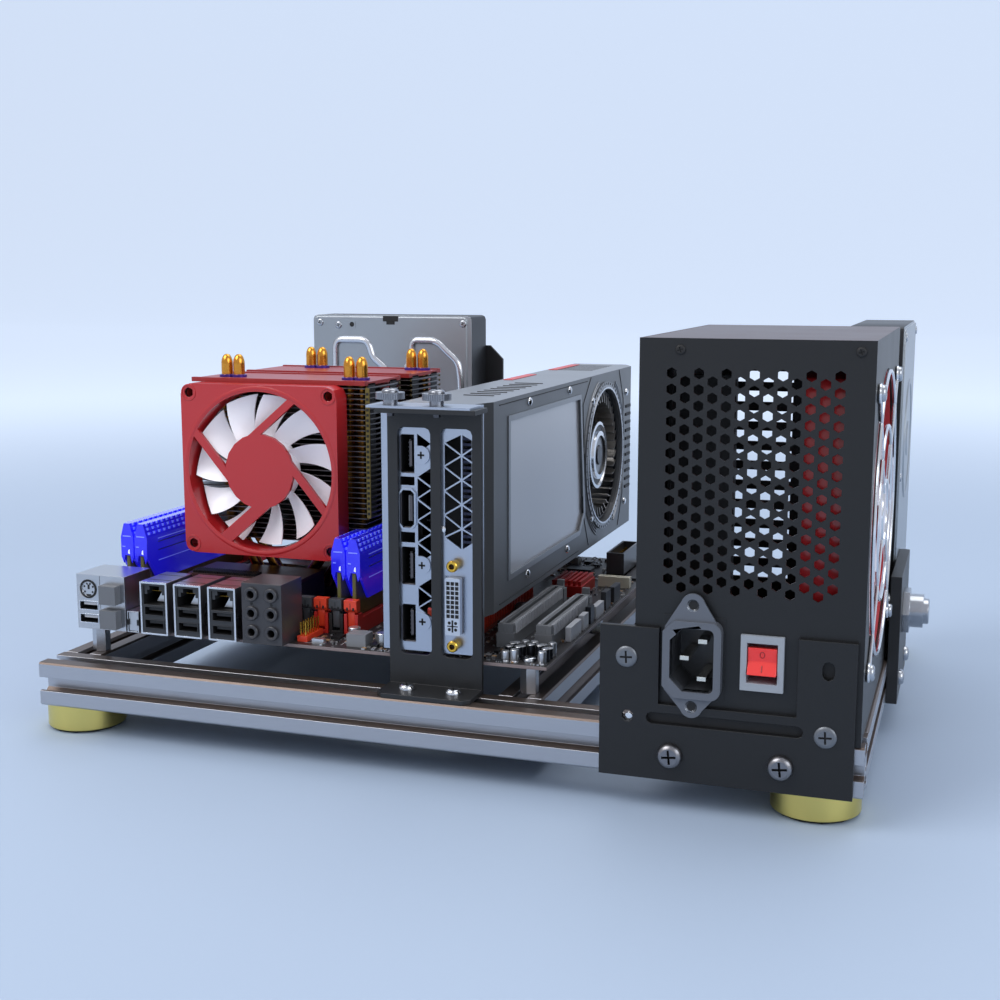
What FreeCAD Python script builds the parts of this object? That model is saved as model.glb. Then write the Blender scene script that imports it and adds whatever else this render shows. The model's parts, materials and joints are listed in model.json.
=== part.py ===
import FreeCAD, Part
import math
import os

# Open-frame desktop computer, in millimetres.
# X runs to the right along the front rail from its left end, Y runs back from the front rail's
# front face, and Z runs up from the rails' top faces. The finished pieces are then moved so that
# the origin is the middle of the base.

Vector = FreeCAD.Vector

# Frame of slotted square profile
profile_side = 20.0
slot_mouth = 6.2
slot_lip = 1.8
slot_width = 11.5
slot_straight = 1.1
slot_depth = 6.1
slot_floor = 5.7
profile_bore = 4.2
profile_chamfer = 0.8
frame_length = 363.0
middle_rail_left = 212.4

# Inside corner connectors
connector_width = 8.4
connector_neck = 5.4
connector_sheet = 2.4
connector_leg = 24.0
connector_play = 0.2

# Feet
foot_radius = 17.5
foot_height = 11.8
pad_radius = 16.0
pad_height = 1.2
pad_sides = 12
foot_left_inset = 11.0
foot_right_inset = 19.0
foot_front_inset = 19.5

# Motherboard and what holds it
standoff_height = 12.0
standoff_across = 7.0
board_thickness = 1.5
board_left = 10.0
board_width = 223.7
board_front = 20.5
board_depth = 226.0
board_hole_left_inset = 4.5
board_hole_right_inset = 9.7
board_hole_front_inset = 7.5
board_hole_back_inset = 8.0

# Connectors at the board's front edge
port_face = 15.0
port_depth = 21.5
port_wall = 0.6
key_block_left = 11.5
key_block_width = 12.4
plug_block_width = 12.9
block_height = 25.2
round_port_radius = 4.3
round_port_height = 18.5
usb_width = 9.4
usb_height = 3.6
usb_tongue = 1.3
low_usb_height = 3.0
high_usb_height = 9.0
small_port_left = 37.5
small_port_width = 6.0
small_port_height = 9.8
plug_side = 8.6
plug_reach = 4.5
plug_gap = 11.2
stack_left = 45.1
stack_width = 13.6
stack_pitch = 17.2
stack_count = 3
stack_height = 24.0
lan_width = 10.6
lan_height = 8.6
lan_sill = 13.6
lan_depth = 15.0
audio_left = 96.1
audio_width = 19.4
audio_height = 27.1
audio_depth = 19.5
jack_bore = 1.9
jack_sides = 10
jack_spread = 9.6
jack_pitch = 8.4
jack_low = 5.4

# Memory sockets, latches and modules
socket_width = 6.8
socket_length = 104.0
socket_height = 7.5
socket_pitch = 7.4
sockets_per_bank = 4
right_bank_first = 113.5
right_bank_front = 42.0
left_bank_first = 16.8
left_bank_front = 45.0
tower_height = 9.5
tower_length = 5.4
far_hook_height = 15.0
latch_width = 3.2
latch_play = 0.3
latch_pivot_back = 2.2
latch_pivot_height = 4.0
latch_heel = 1.6
latch_pin = 0.9
latch_pin_play = 0.05
latch_pin_reach = 1.2
latch_height = 16.0
latch_arm_front = 1.5
latch_arm_back = 1.4
latch_head_front = 2.8
latch_head_height = 5.5
latch_head_width = 6.2
latch_pin_sides = 6
slit_floor = 1.5
module_thickness = 1.2
module_length = 97.0
module_gap = 0.4
module_seat = 3.0
module_top = 36.0
groove_play = 0.05
spreader_width = 7.2
spreader_sheet = 1.6
spreader_low = 15.0
spreader_shoulder = 36.5
spreader_ridge = 43.0
spreader_ridge_width = 3.4
spreader_notches = 7
spreader_notch_width = 2.6
spreader_notch_depth = 2.2
right_modules = (2, 3)
left_modules = (0, 1)

# Processor and its cooler
socket_frame_side = 50.0
socket_frame_height = 2.5
processor_side = 38.0
processor_height = 4.0
cooler_middle_x = 82.9
cooler_front = 58.0
fan_side = 80.0
fan_depth = 11.0
fan_bottom = 43.0
fan_corner = 5.0
fan_opening = 37.0
fan_hole_radius = 2.2
fan_hole_pitch = 71.5
fan_hub = 17.5
fan_hub_sheet = 2.0
fan_strut = 3.6
fan_cable_strut = 6.0
fan_post_radius = 4.0
fan_hub_cap = 0.4
hub_sides = 20
shaft_reach = 2.0
fan_shaft = 1.5
shaft_play = 0.05
rotor_hub = 16.4
rotor_radius = 35.8
rotor_gap = 0.6
blade_count = 11
blade_thickness = 1.1
blade_root_pitch = 48.0
blade_tip_pitch = 28.0
blade_sweep = 16.0
blade_chord = 11.0
fin_width = 98.2
fin_depth = 42.0
fin_sheet = 0.5
fin_pitch = 2.4
fin_low = 61.4
fin_top = 123.0
fin_cap = 1.6
pipe_radius = 2.7
pipe_sides = 8
pipe_clear = 5.0
outer_knee = 59.0
inner_knee = 62.0
pipe_tip_top = 135.5
pipe_tip_length = 4.5
pipe_tip_radius = 1.2
front_pipe_y = 82.0
back_pipe_y = 155.0
front_pipe_offsets = (-25.4, 38.8)
back_pipe_offsets = (-16.9, 39.9)
pipe_pair_pitch = 6.4
base_pipe_offsets = (-16.5, -5.5, 5.5, 16.5)
base_width = 44.0
base_depth = 40.0
base_height = 14.0
base_groove_low = 4.5
clamp_width = 50.0
clamp_leg = 2.0
clamp_depth = 9.0
clamp_height = 3.0

# Heat sinks on the board
port_sink_left = 44.0
port_sink_width = 58.5
port_sink_front = 57.0
port_sink_depth = 27.0
port_sink_height = 19.5
port_sink_foot = 5.0
port_sink_fin = 3.2
port_sink_pitch = 6.2
chip_sink_left = 180.0
chip_sink_width = 23.0
chip_sink_front = 146.0
chip_sink_depth = 44.0
chip_sink_height = 12.5
chip_sink_foot = 4.0
chip_sink_fin = 2.4
chip_sink_pitch = 5.1

# Expansion sockets
expansion_height = 10.5
expansion_width = 6.8
expansion_groove = 1.9
expansion_groove_depth = 8.0
grey_socket_x = 207.6
grey_socket_front = 45.0
grey_socket_length = 125.0
far_socket_x = 224.2
far_socket_front = 66.0
far_socket_length = 108.0
card_socket_front = 58.0
card_socket_length = 92.0
latch_tail = 9.0

# Small parts on the board
small_sides = 8
capacitor_radius = 3.1
capacitor_height = 9.0
header_from_left = 110.0
header_from_front = 12.5
header_length = 16.0
header_width = 4.8
header_height = 2.5
power_header_width = 9.6
power_header_length = 50.0
power_header_height = 12.5
power_header_wall = 1.2

# Graphics card
card_front = 20.8
card_length = 265.4
card_right = 206.5
card_left = 168.0
card_bottom = 31.0
card_top = 121.0
card_board_thickness = 1.6
card_board_length = 250.0
card_contact_front = 62.0
card_contact_length = 84.0
shroud_wall = 1.5
shroud_nose = 12.0
window_front = 54.0
window_back = 165.0
window_low = 44.0
window_top = 111.0
window_slant = 8.0
window_depth = 0.8
blower_y = 215.0
blower_z = 76.7
blower_opening = 36.0
blower_hub = 18.5
blower_radius = 34.5
blower_ring = 29.0
blower_depth = 22.0
blower_floor = 2.0
blower_blades = 18
blower_sides = 24
blower_hub_sides = 16
blower_post_sides = 12
blower_blade = 1.0
blower_bearing = 8.0
vent_slots = 8
vent_slot_length = 20.0
vent_slot_width = 3.0
vent_slot_pitch = 6.0
sink_left = card_left + card_board_thickness
sink_width = 32.4
sink_front = 37.0
sink_depth = 134.0
sink_foot = 3.0
sink_fin = 0.8
sink_fin_pitch = 7.0
bracket_left = 161.6
bracket_width = 45.0
bracket_sheet = 1.0
bracket_bottom = 16.0
lattice_left = 190.4
lattice_width = 12.2
lattice_split = 0.54
lattice_low = 61.4
lattice_top = 110.0
lattice_rows = 5
lattice_bar = 0.9
outlet_left = 169.6
outlet_width = 7.0
outlet_height = 16.6
outlet_depth = 12.0
outlet_wall = 0.5
outlet_lows = (19.5, 44.1, 68.4, 91.5)
video_left = 189.4
video_width = 9.2
video_low = 24.5
video_height = 25.0

# Card holder
holder_left = 165.1
holder_width = 41.5
holder_front = 17.3
holder_sheet = 2.0
holder_top = 118.0
holder_foot_front = 0.5
holder_foot_corner = 3.0
holder_flange_front = 4.0
holder_windows = (169.7, 188.7)
holder_window_widths = (14.5, 13.8)
holder_window_low = 14.8
holder_window_top = 111.0
holder_window_corner = 2.5
thumb_first = 168.0
thumb_pitch = 20.3
thumb_y = 11.0
thumb_neck = 2.6
thumb_neck_height = 3.0
thumb_head = 6.0
thumb_head_height = 4.0
thumb_cap = 3.4
thumb_cap_height = 1.8
knurl_sides = 16
thumb_shank = 1.6
thumb_tip = 2.0

# Power supply
psu_gap = 1.5
psu_width = 86.0
psu_depth = 140.0
psu_height = 150.0
psu_sheet = 1.0
vent_columns = 13
vent_rows = 14
vent_first_x = 12.3
vent_pitch_x = 5.11
vent_top_z = 137.0
vent_pitch_z = 6.0
vent_corner = 2.15
inlet_x = 23.1
inlet_z = 29.5
inlet_body_width = 22.4
inlet_body_height = 30.0
inlet_cavity_width = 16.6
inlet_cavity_height = 24.4
inlet_cut = 6.0
inlet_depth = 22.0
inlet_cavity_depth = 17.0
inlet_flange = 2.4
inlet_screw_spacing = 40.0
inlet_ear_radius = 5.0
inlet_fit = 0.3
blade_pin_width = 4.0
blade_pin_thickness = 2.0
blade_pin_length = 14.0
switch_x = 49.05
switch_z = 29.2
switch_frame_width = 16.3
switch_frame_height = 21.4
switch_body_width = 14.1
switch_body_height = 18.0
switch_depth = 16.0
switch_flange = 2.0
switch_well_width = 11.5
switch_well_height = 15.4
rocker_play = 0.3
rocker_swing = 7.2
rocker_pivot_back = 2.5
rocker_reach = 5.0
rocker_waist = 3.4
rocker_tilt = 10.0
rocker_pin = 1.0
rocker_pin_reach = 1.0
psu_fan_y = 65.0
psu_fan_z = 78.0
psu_fan_side = 120.0
psu_fan_depth = 25.0
psu_fan_opening = 57.0
psu_fan_corner = 8.0
psu_fan_hub = 20.0
psu_fan_rotor = 55.5
psu_fan_blades = 7
psu_blade_chord = 24.0
psu_blade_sweep = 20.0
psu_blade_thickness = 1.5
psu_fan_screw_pitch = 105.0
psu_window_radius = 58.0
guard_wire = 1.6
guard_rings = (14.0, 36.0, 58.0)
guard_sides = 16

# Power supply's circuit, and the slots in its back wall
circuit_thickness = 1.6
circuit_stand = 4.0
circuit_margin = 8.0
circuit_foot = 5.0
sink_plate = 5.0
sink_plate_reach = 22.0
rear_sink_reach = 11.0
transformer_reach = 15.0
transformer_depth = 24.0
transformer_height = 34.0
back_slot_left = 11.0
back_slot_right = 40.0
back_slot_first = 32.0
back_slot_height = 5.0
back_slot_pitch = 9.2
back_slots = 12

# Mounting plate in front of the power supply, its X measured from the supply's left side
plate_sheet = 2.5
plate_left = -13.3
plate_right = 83.9
plate_bottom = -20.3
plate_ear_top = 40.0
plate_left_ear = 10.0
plate_right_ear = 62.4
plate_notch_low = 10.0
plate_slot_left = 5.3
plate_slot_right = 65.1
plate_slot_z = 4.3
plate_slot_width = 4.4
plate_hole = (-2.1, 4.2)
plate_slotted_hole = (73.6, 28.7)
plate_slotted_length = 7.0
plate_hole_radius = 2.2

# Drives and their brackets
drive_width = 101.6
drive_length = 147.0
drive_thickness = 26.0
drive_cover = 1.0
drive_cover_inset = 3.0
drive_corner = 2.5
back_drive_left = 14.0
right_drive_inset = 117.0
drive_gap = 9.5
drive_bracket_sheet = 2.0
drive_bracket_top = 131.0
drive_bracket_ear = 10.5
drive_bracket_corner = 8.0

# Power button on its plate
button_plate_sheet = 5.0
button_plate_front = 126.0
button_plate_back = 195.0
button_plate_top = 39.0
button_plate_bottom = -20.0
button_y = 151.0
button_z = 18.5
button_thread = 7.8
button_bore = 6.2
button_hole_play = 0.15
button_nut_across = 19.0
button_nut_height = 3.0
button_collar_reach = 9.0
button_body_depth = 16.0
button_floor = 3.0
button_cap_radius = 5.9
button_cap_reach = 11.5
button_travel = 2.0

# Values worked out from the sizes above
frame_depth = board_front + board_depth + drive_gap + drive_thickness
front_slot_y = profile_side / 2
back_slot_y = frame_depth - profile_side / 2
left_slot_x = profile_side / 2
middle_slot_x = middle_rail_left + profile_side / 2
right_slot_x = frame_length - profile_side / 2
slot_z = -profile_side / 2
board_top = standoff_height + board_thickness
board_right = board_left + board_width
board_back = board_front + board_depth
foot_xs = (foot_left_inset, frame_length - foot_right_inset)
foot_ys = (foot_front_inset, frame_depth - foot_front_inset)
psu_left = frame_length - psu_gap - psu_width
psu_right = psu_left + psu_width
lattice_middle = lattice_left + lattice_split * lattice_width
lattice_right = lattice_left + lattice_width
holder_right = holder_left + holder_width
card_board_x = card_left + card_board_thickness
tower_one = cooler_front + fan_depth
fan_two = tower_one + fin_depth
tower_two = fan_two + fan_depth
fan_three = tower_two + fin_depth
fan_fronts = (cooler_front, fan_two, fan_three)
fan_middle_z = fan_bottom + fan_side / 2
base_middle_y = fan_two + fan_depth / 2
processor_z = board_top + processor_height


def box(x, y, z, width, depth, height):
    return Part.makeBox(width, depth, height, Vector(x, y, z))


def middle_box(x, y, z, width, depth, height):
    """A box whose X and Y middles are given, standing on z."""
    return box(x - width / 2, y - depth / 2, z, width, depth, height)


def rod(x, y, z, radius, length, direction):
    return Part.makeCylinder(radius, length, Vector(x, y, z), direction)


def up(x, y, z, radius, length):
    return rod(x, y, z, radius, length, Vector(0, 0, 1))


def back(x, y, z, radius, length):
    return rod(x, y, z, radius, length, Vector(0, 1, 0))


def right(x, y, z, radius, length):
    return rod(x, y, z, radius, length, Vector(1, 0, 0))


def place(u, v, axis, level):
    """A point of a drawing at a level along an axis: u and v are the other two, in X, Y, Z order."""
    if axis == "x":
        return Vector(level, u, v)
    if axis == "y":
        return Vector(u, level, v)
    return Vector(u, v, level)


def outline(points, axis, level):
    return Part.makePolygon([place(u, v, axis, level) for u, v in points + points[:1]])


def raise_face(wires, axis, thickness):
    """A face with holes, made solid along the axis."""
    face = Part.makeFace(wires, "Part::FaceMakerBullseye")
    return face.extrude(place(0, 0, axis, thickness))


def prism(points, axis, level, thickness):
    return Part.Face(outline(points, axis, level)).extrude(place(0, 0, axis, thickness))


def ring_wire(u, v, radius, axis, level):
    return Part.Wire(Part.makeCircle(radius, place(u, v, axis, level), place(0, 0, axis, 1)))


def hexagon(u, v, corner, axis, level, start=90.0):
    points = []
    for side in range(6):
        angle = math.radians(start + 60 * side)
        points.append((u + corner * math.cos(angle), v + corner * math.sin(angle)))
    return outline(points, axis, level)


def around(u, v, inradius, sides, axis, level):
    """A regular many-sided outline that a circle of the given radius just fits in."""
    corner = inradius / math.cos(math.pi / sides)
    points = []
    for side in range(sides):
        angle = 2 * math.pi * (side + 0.5) / sides
        points.append((u + corner * math.cos(angle), v + corner * math.sin(angle)))
    return outline(points, axis, level)


def peg(u, v, radius, sides, axis, level, length):
    """A many-sided peg that just fits in a round hole of the given radius."""
    wire = around(u, v, radius * math.cos(math.pi / sides), sides, axis, level)
    return raise_face([wire], axis, length)


def soft_corners(u0, u1, v0, v1, radius, axis, level):
    """A rectangle whose corners are cut in two short steps, close to an arc."""
    points = []
    for cu, cv, start in ((u1 - radius, v0 + radius, -90), (u1 - radius, v1 - radius, 0),
                          (u0 + radius, v1 - radius, 90), (u0 + radius, v0 + radius, 180)):
        for step in (0, 45, 90):
            angle = math.radians(start + step)
            points.append((cu + radius * math.cos(angle), cv + radius * math.sin(angle)))
    return outline(points, axis, level)


def turned(points, origin, direction):
    """A turned piece from radius and height pairs, its axis standing at the origin."""
    wire = Part.makePolygon([Vector(r, 0, h) for r, h in points + points[:1]])
    solid = Part.Face(wire).revolve(Vector(0, 0, 0), Vector(0, 0, 1), 360)
    solid.Placement = FreeCAD.Placement(origin, FreeCAD.Rotation(Vector(0, 0, 1), direction))
    return solid


def fuse(solids):
    return solids[0].multiFuse(solids[1:]).removeSplitter()


def profile_points():
    """One quarter of the slotted section, turned four times."""
    half = profile_side / 2
    shoulder = half - slot_lip - slot_straight
    quarter = [(-half, half - profile_chamfer), (-half + profile_chamfer, half), (-slot_mouth / 2, half),
               (-slot_mouth / 2, half - slot_lip), (-slot_width / 2, half - slot_lip),
               (-slot_width / 2, shoulder), (-slot_floor / 2, half - slot_depth),
               (slot_floor / 2, half - slot_depth), (slot_width / 2, shoulder),
               (slot_width / 2, half - slot_lip), (slot_mouth / 2, half - slot_lip), (slot_mouth / 2, half)]
    points = []
    for turn in range(4):
        for u, v in quarter:
            for _ in range(turn):
                u, v = v, -u
            points.append((u, v))
    return points


def rail(axis, middle, level, length, bored):
    """A length of slotted profile along X or Y, its axis at slot height."""
    points = [(middle + u, slot_z + v) for u, v in profile_points()]
    wires = [outline(points, axis, level)]
    if bored:
        wires.append(ring_wire(middle, slot_z, profile_bore / 2, axis, level))
    return raise_face(wires, axis, length)


def corner_connector(x, y, side, forward):
    """A flat L: one leg in the long rail's slot, the other in the slot of the rail that butts to it."""
    depth = profile_side / 2 - slot_lip - connector_play - connector_sheet
    wide = connector_width / 2
    thin = connector_neck / 2
    inner = profile_side / 2 - slot_lip - connector_play
    x0 = x + side * depth
    x1 = x + side * inner
    face = y + forward * profile_side / 2
    back_edge = y + forward * depth
    legs = [(min(x0, x1), min(face, face + forward * connector_leg), slot_z - wide,
             connector_sheet, connector_leg, connector_width),
            (min(x0, x1), min(back_edge, face), slot_z - thin,
             connector_sheet, profile_side / 2 - depth, connector_neck)]
    long_leg = box(min(x1, x1 + side * connector_leg), min(back_edge, y + forward * inner), slot_z - wide,
                   connector_leg, connector_sheet, connector_width)
    return fuse([box(*leg) for leg in legs] + [long_leg])


def corner_connectors():
    solids = []
    places = [(left_slot_x, 1), (middle_slot_x, 1), (middle_slot_x, -1), (right_slot_x, -1)]
    for x, side in places:
        solids.append(corner_connector(x, front_slot_y, side, 1))
        solids.append(corner_connector(x, back_slot_y, side, -1))
    return solids


def feet():
    bodies = []
    pads = []
    low = -profile_side - foot_height
    for x in foot_xs:
        for y in foot_ys:
            bodies.append(up(x, y, low, foot_radius, foot_height))
            pads.append(peg(x, y, pad_radius, pad_sides, "z", low - pad_height, pad_height))
    return bodies, pads


def board_holes():
    xs = (board_left + board_hole_left_inset, board_right - board_hole_right_inset)
    front = board_front + board_hole_front_inset
    last = board_back - board_hole_back_inset
    return [(x, y) for x in xs for y in (front, (front + last) / 2, last)]


def motherboard():
    return box(board_left, board_front, standoff_height, board_width, board_depth, board_thickness)


def standoffs():
    corner = standoff_across / math.sqrt(3)
    return [raise_face([hexagon(x, y, corner, "z", 0)], "z", standoff_height) for x, y in board_holes()]


def port_block(x, width, height, holes):
    """A metal shell with holes let into its front; each hole gives its left, low, width, height, depth."""
    shell = box(x, port_face, board_top, width, port_depth, height)
    cuts = [box(left, port_face - 1, low, wide, deep + 1, high) for left, low, wide, high, deep in holes]
    return shell.cut(Part.makeCompound(cuts)) if cuts else shell


def usb_hole(middle, low, depth):
    return (middle - usb_width / 2, low, usb_width, usb_height, depth)


def usb_tongues(middle):
    tongues = []
    for low in (low_usb_height, high_usb_height):
        z = board_top + low + usb_height - usb_tongue - 0.6
        tongues.append(box(middle - usb_width / 2 + 1, port_face + 1.5, z, usb_width - 2,
                           port_depth / 2 - 1.5, usb_tongue))
    return tongues


def ports():
    """The shells along the board's front edge, and the plastic that sits in them."""
    shells = []
    inserts = []
    key_middle = key_block_left + key_block_width / 2
    usb_depth = port_depth / 2
    usb_lows = (board_top + low_usb_height, board_top + high_usb_height)
    key_holes = [usb_hole(key_middle, low, usb_depth) for low in usb_lows]
    key_block = port_block(key_block_left, key_block_width, block_height, key_holes)
    key_block = key_block.cut(back(key_middle, port_face - 1, board_top + round_port_height,
                                   round_port_radius, usb_depth + 1))
    shells.append(key_block)
    inserts += usb_tongues(key_middle)
    plug_left = key_block_left + key_block_width
    shells.append(port_block(plug_left, plug_block_width, block_height, []))
    for low in (1.6, 1.6 + plug_gap):
        inserts.append(box(plug_left + (plug_block_width - plug_side) / 2, port_face - plug_reach,
                           board_top + low, plug_side, plug_reach, plug_side))
    small_hole = (small_port_left + port_wall, board_top + port_wall, small_port_width - 2 * port_wall,
                  small_port_height - 2 * port_wall, usb_depth)
    shells.append(port_block(small_port_left, small_port_width, small_port_height, [small_hole]))
    for index in range(stack_count):
        left = stack_left + index * stack_pitch
        middle = left + stack_width / 2
        holes = [usb_hole(middle, low, usb_depth) for low in usb_lows]
        holes.append((middle - lan_width / 2, board_top + lan_sill, lan_width, lan_height, lan_depth))
        shells.append(port_block(left, stack_width, stack_height, holes))
        inserts += usb_tongues(middle)
    inserts.append(audio_block())
    return shells, inserts


def audio_block():
    block = box(audio_left, port_face, board_top, audio_width, audio_depth, audio_height)
    bores = []
    for column in (-1, 1):
        for row in range(3):
            x = audio_left + audio_width / 2 + column * jack_spread / 2
            z = board_top + jack_low + row * jack_pitch
            bores.append(peg(x, z, jack_bore, jack_sides, "y", port_face - 1, audio_depth - 5))
    return block.cut(Part.makeCompound(bores))


def bank_sockets():
    """Middle x and front y of each memory socket, from right bank to left."""
    places = []
    for first, front in ((right_bank_first, right_bank_front), (left_bank_first, left_bank_front)):
        for index in range(sockets_per_bank):
            places.append((first + index * socket_pitch, front))
    return places


def memory_socket(x, front):
    """A long socket: slit for the latch at the front, slot for the module, hook at the far end."""
    half = socket_width / 2
    far = front + socket_length
    hook_top = board_top + far_hook_height
    rim = board_top + socket_height
    tower_top = board_top + tower_height
    side = [(front, board_top), (far, board_top), (far, hook_top), (far - tower_length / 2, hook_top),
            (far - tower_length, rim), (front + tower_length, rim), (front + tower_length, tower_top),
            (front, tower_top)]
    body = prism(side, "x", x - half, socket_width)
    slit = latch_width / 2 + latch_play
    pivot = front + latch_pivot_back
    notch = box(x - slit, front - 1, board_top + slit_floor, 2 * slit,
                latch_pivot_back + latch_heel + latch_play + 1, tower_height)
    groove = box(x - module_thickness / 2 - groove_play, pivot, board_top + module_seat,
                 module_thickness + 2 * groove_play, far - tower_length / 2 - pivot, far_hook_height)
    pin = latch_pin + latch_pin_play
    reach = latch_width / 2 + latch_pin_reach + latch_play
    pin_notch = box(x - reach, pivot - pin, board_top + latch_pivot_height - pin, 2 * reach, 2 * pin,
                    tower_height)
    return body.cut(Part.makeCompound([notch, groove])).cut(pin_notch)


def memory_latch(x, front):
    """A latch on two moulded pins: rounded heel, slim arm and a wide head with a finger notch."""
    y = front + latch_pivot_back
    z = board_top + latch_pivot_height
    top = board_top + latch_height
    head_low = top - latch_head_height
    half = latch_width / 2
    toe = latch_heel * 0.7
    arm = prism([(y - toe, z - toe), (y, z - latch_heel), (y + toe, z - toe), (y + latch_arm_back, z),
                 (y + latch_arm_back, head_low + 1), (y - latch_arm_front, head_low + 1),
                 (y - latch_arm_front, z)], "x", x - half, latch_width)
    head = prism([(y - latch_arm_front, head_low), (y + latch_arm_back, head_low),
                  (y + latch_arm_back, top), (y - latch_head_front, top),
                  (y - latch_head_front, head_low + 1.5)], "x", x - latch_head_width / 2, latch_head_width)
    reach = half + latch_pin_reach
    pins = peg(y, z, latch_pin, latch_pin_sides, "x", x - reach, 2 * reach)
    return fuse([arm, head, pins])


def memory_module(x, front):
    """The bare board of a module and the ribbed cover that clasps it."""
    start = front + latch_pivot_back + latch_arm_back + module_gap
    low = board_top + module_seat
    board = box(x - module_thickness / 2, start, low, module_thickness, module_length,
                module_top - module_seat)
    half = spreader_width / 2
    ridge = spreader_ridge_width / 2
    inner = module_thickness / 2
    section = [(-inner, module_top), (-inner, spreader_low),
               (-inner - spreader_sheet, spreader_low), (-inner - spreader_sheet, spreader_low + 9),
               (-half, spreader_low + 12), (-half, spreader_shoulder), (-ridge, spreader_ridge)]
    points = section + [(-u, v) for u, v in reversed(section)]
    cover = prism([(x + u, board_top + v) for u, v in points], "y", start, module_length)
    notches = []
    for index in range(spreader_notches):
        y = start + module_length * (index + 1) / (spreader_notches + 1)
        notches.append(middle_box(x, y, board_top + spreader_ridge - spreader_notch_depth,
                                  spreader_width, spreader_notch_width, spreader_notch_depth + 1))
    return board, cover.cut(Part.makeCompound(notches))


def memory():
    sockets = []
    latches = []
    boards = []
    covers = []
    for index, (x, front) in enumerate(bank_sockets()):
        sockets.append(memory_socket(x, front))
        latches.append(memory_latch(x, front))
        bank, place_in_bank = divmod(index, sockets_per_bank)
        if place_in_bank in (right_modules, left_modules)[bank]:
            board, cover = memory_module(x, front)
            boards.append(board)
            covers.append(cover)
    return sockets, latches, boards, covers


def processor_socket():
    frame = middle_box(cooler_middle_x, base_middle_y, board_top, socket_frame_side, socket_frame_side,
                       socket_frame_height)
    well = middle_box(cooler_middle_x, base_middle_y, board_top - 1, processor_side, processor_side,
                      socket_frame_height + 2)
    lid = middle_box(cooler_middle_x, base_middle_y, board_top, processor_side, processor_side,
                     processor_height)
    return [frame.cut(well), lid]


def tube(points, radius, tip_radius, tip_length):
    """A many-sided pipe with mitred bends that starts and ends upright, with drawn-out tips."""
    path = Part.makePolygon([Vector(*point) for point in points])
    x, y, top = points[0]
    section = around(x, y, radius, pipe_sides, "z", top)
    solids = [path.makePipeShell([section], True, True, 1)]
    for x, y, top in (points[0], points[-1]):
        low = around(x, y, radius, pipe_sides, "z", top)
        high = around(x, y, tip_radius, pipe_sides, "z", top + tip_length)
        solids.append(Part.makeLoft([low, high], True, True))
    return fuse(solids)


def pipe_xs():
    """Front x, back x and base x of each heat pipe from left to right, and how high it turns inward."""
    fronts = [cooler_middle_x + pair + side * pipe_pair_pitch / 2
              for pair in front_pipe_offsets for side in (-1, 1)]
    backs = [cooler_middle_x + pair + side * pipe_pair_pitch / 2
             for pair in back_pipe_offsets for side in (-1, 1)]
    bases = [cooler_middle_x + offset for offset in base_pipe_offsets]
    knees = [outer_knee, inner_knee, inner_knee, outer_knee]
    return list(zip(fronts, backs, bases, knees))


def heat_pipes():
    """Four bent pipes, up through the front tower and the back one."""
    solids = []
    level = processor_z + base_groove_low + pipe_radius
    front_edge = base_middle_y - base_depth / 2 - pipe_clear
    back_edge = base_middle_y + base_depth / 2 + pipe_clear
    top = pipe_tip_top - pipe_tip_length
    for front_x, back_x, base_x, knee in pipe_xs():
        route = [(front_x, front_pipe_y, top), (front_x, front_pipe_y, knee), (base_x, front_edge, level),
                 (base_x, back_edge, level), (back_x, back_pipe_y, knee), (back_x, back_pipe_y, top)]
        solids.append(tube(route, pipe_radius, pipe_tip_radius, pipe_tip_length))
    return solids


def cooler_base():
    """The block on the processor, cut through for the pipes, and the clamp that presses it down."""
    block = middle_box(cooler_middle_x, base_middle_y, processor_z, base_width, base_depth, base_height)
    side = 2 * pipe_radius / math.cos(math.pi / pipe_sides)
    low = processor_z + base_groove_low + pipe_radius - side / 2
    channels = [middle_box(cooler_middle_x + offset, base_middle_y, low, side, base_depth + 2, side)
                for offset in base_pipe_offsets]
    block = block.cut(Part.makeCompound(channels))
    top = processor_z + base_height
    outer = clamp_width / 2
    inner = outer - clamp_leg
    floor = board_top + socket_frame_height
    points = [(-outer, floor), (-inner, floor), (-inner, top), (inner, top), (inner, floor), (outer, floor),
              (outer, top + clamp_height), (-outer, top + clamp_height)]
    clamp = prism([(cooler_middle_x + u, v) for u, v in points], "y", base_middle_y - clamp_depth / 2,
                  clamp_depth)
    return [block, clamp]


def cooler_fins():
    """Two stacks of thin plates that the pipes are pressed through, each under a thicker top plate."""
    solids = []
    left = cooler_middle_x - fin_width / 2
    count = int((fin_top - fin_low) / fin_pitch) + 1
    for front in (tower_one, tower_two):
        for index in range(count):
            solids.append(box(left, front, fin_low + index * fin_pitch, fin_width, fin_depth, fin_sheet))
        solids.append(box(left, front, fin_top, fin_width, fin_depth, fin_cap))
    return solids


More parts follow.
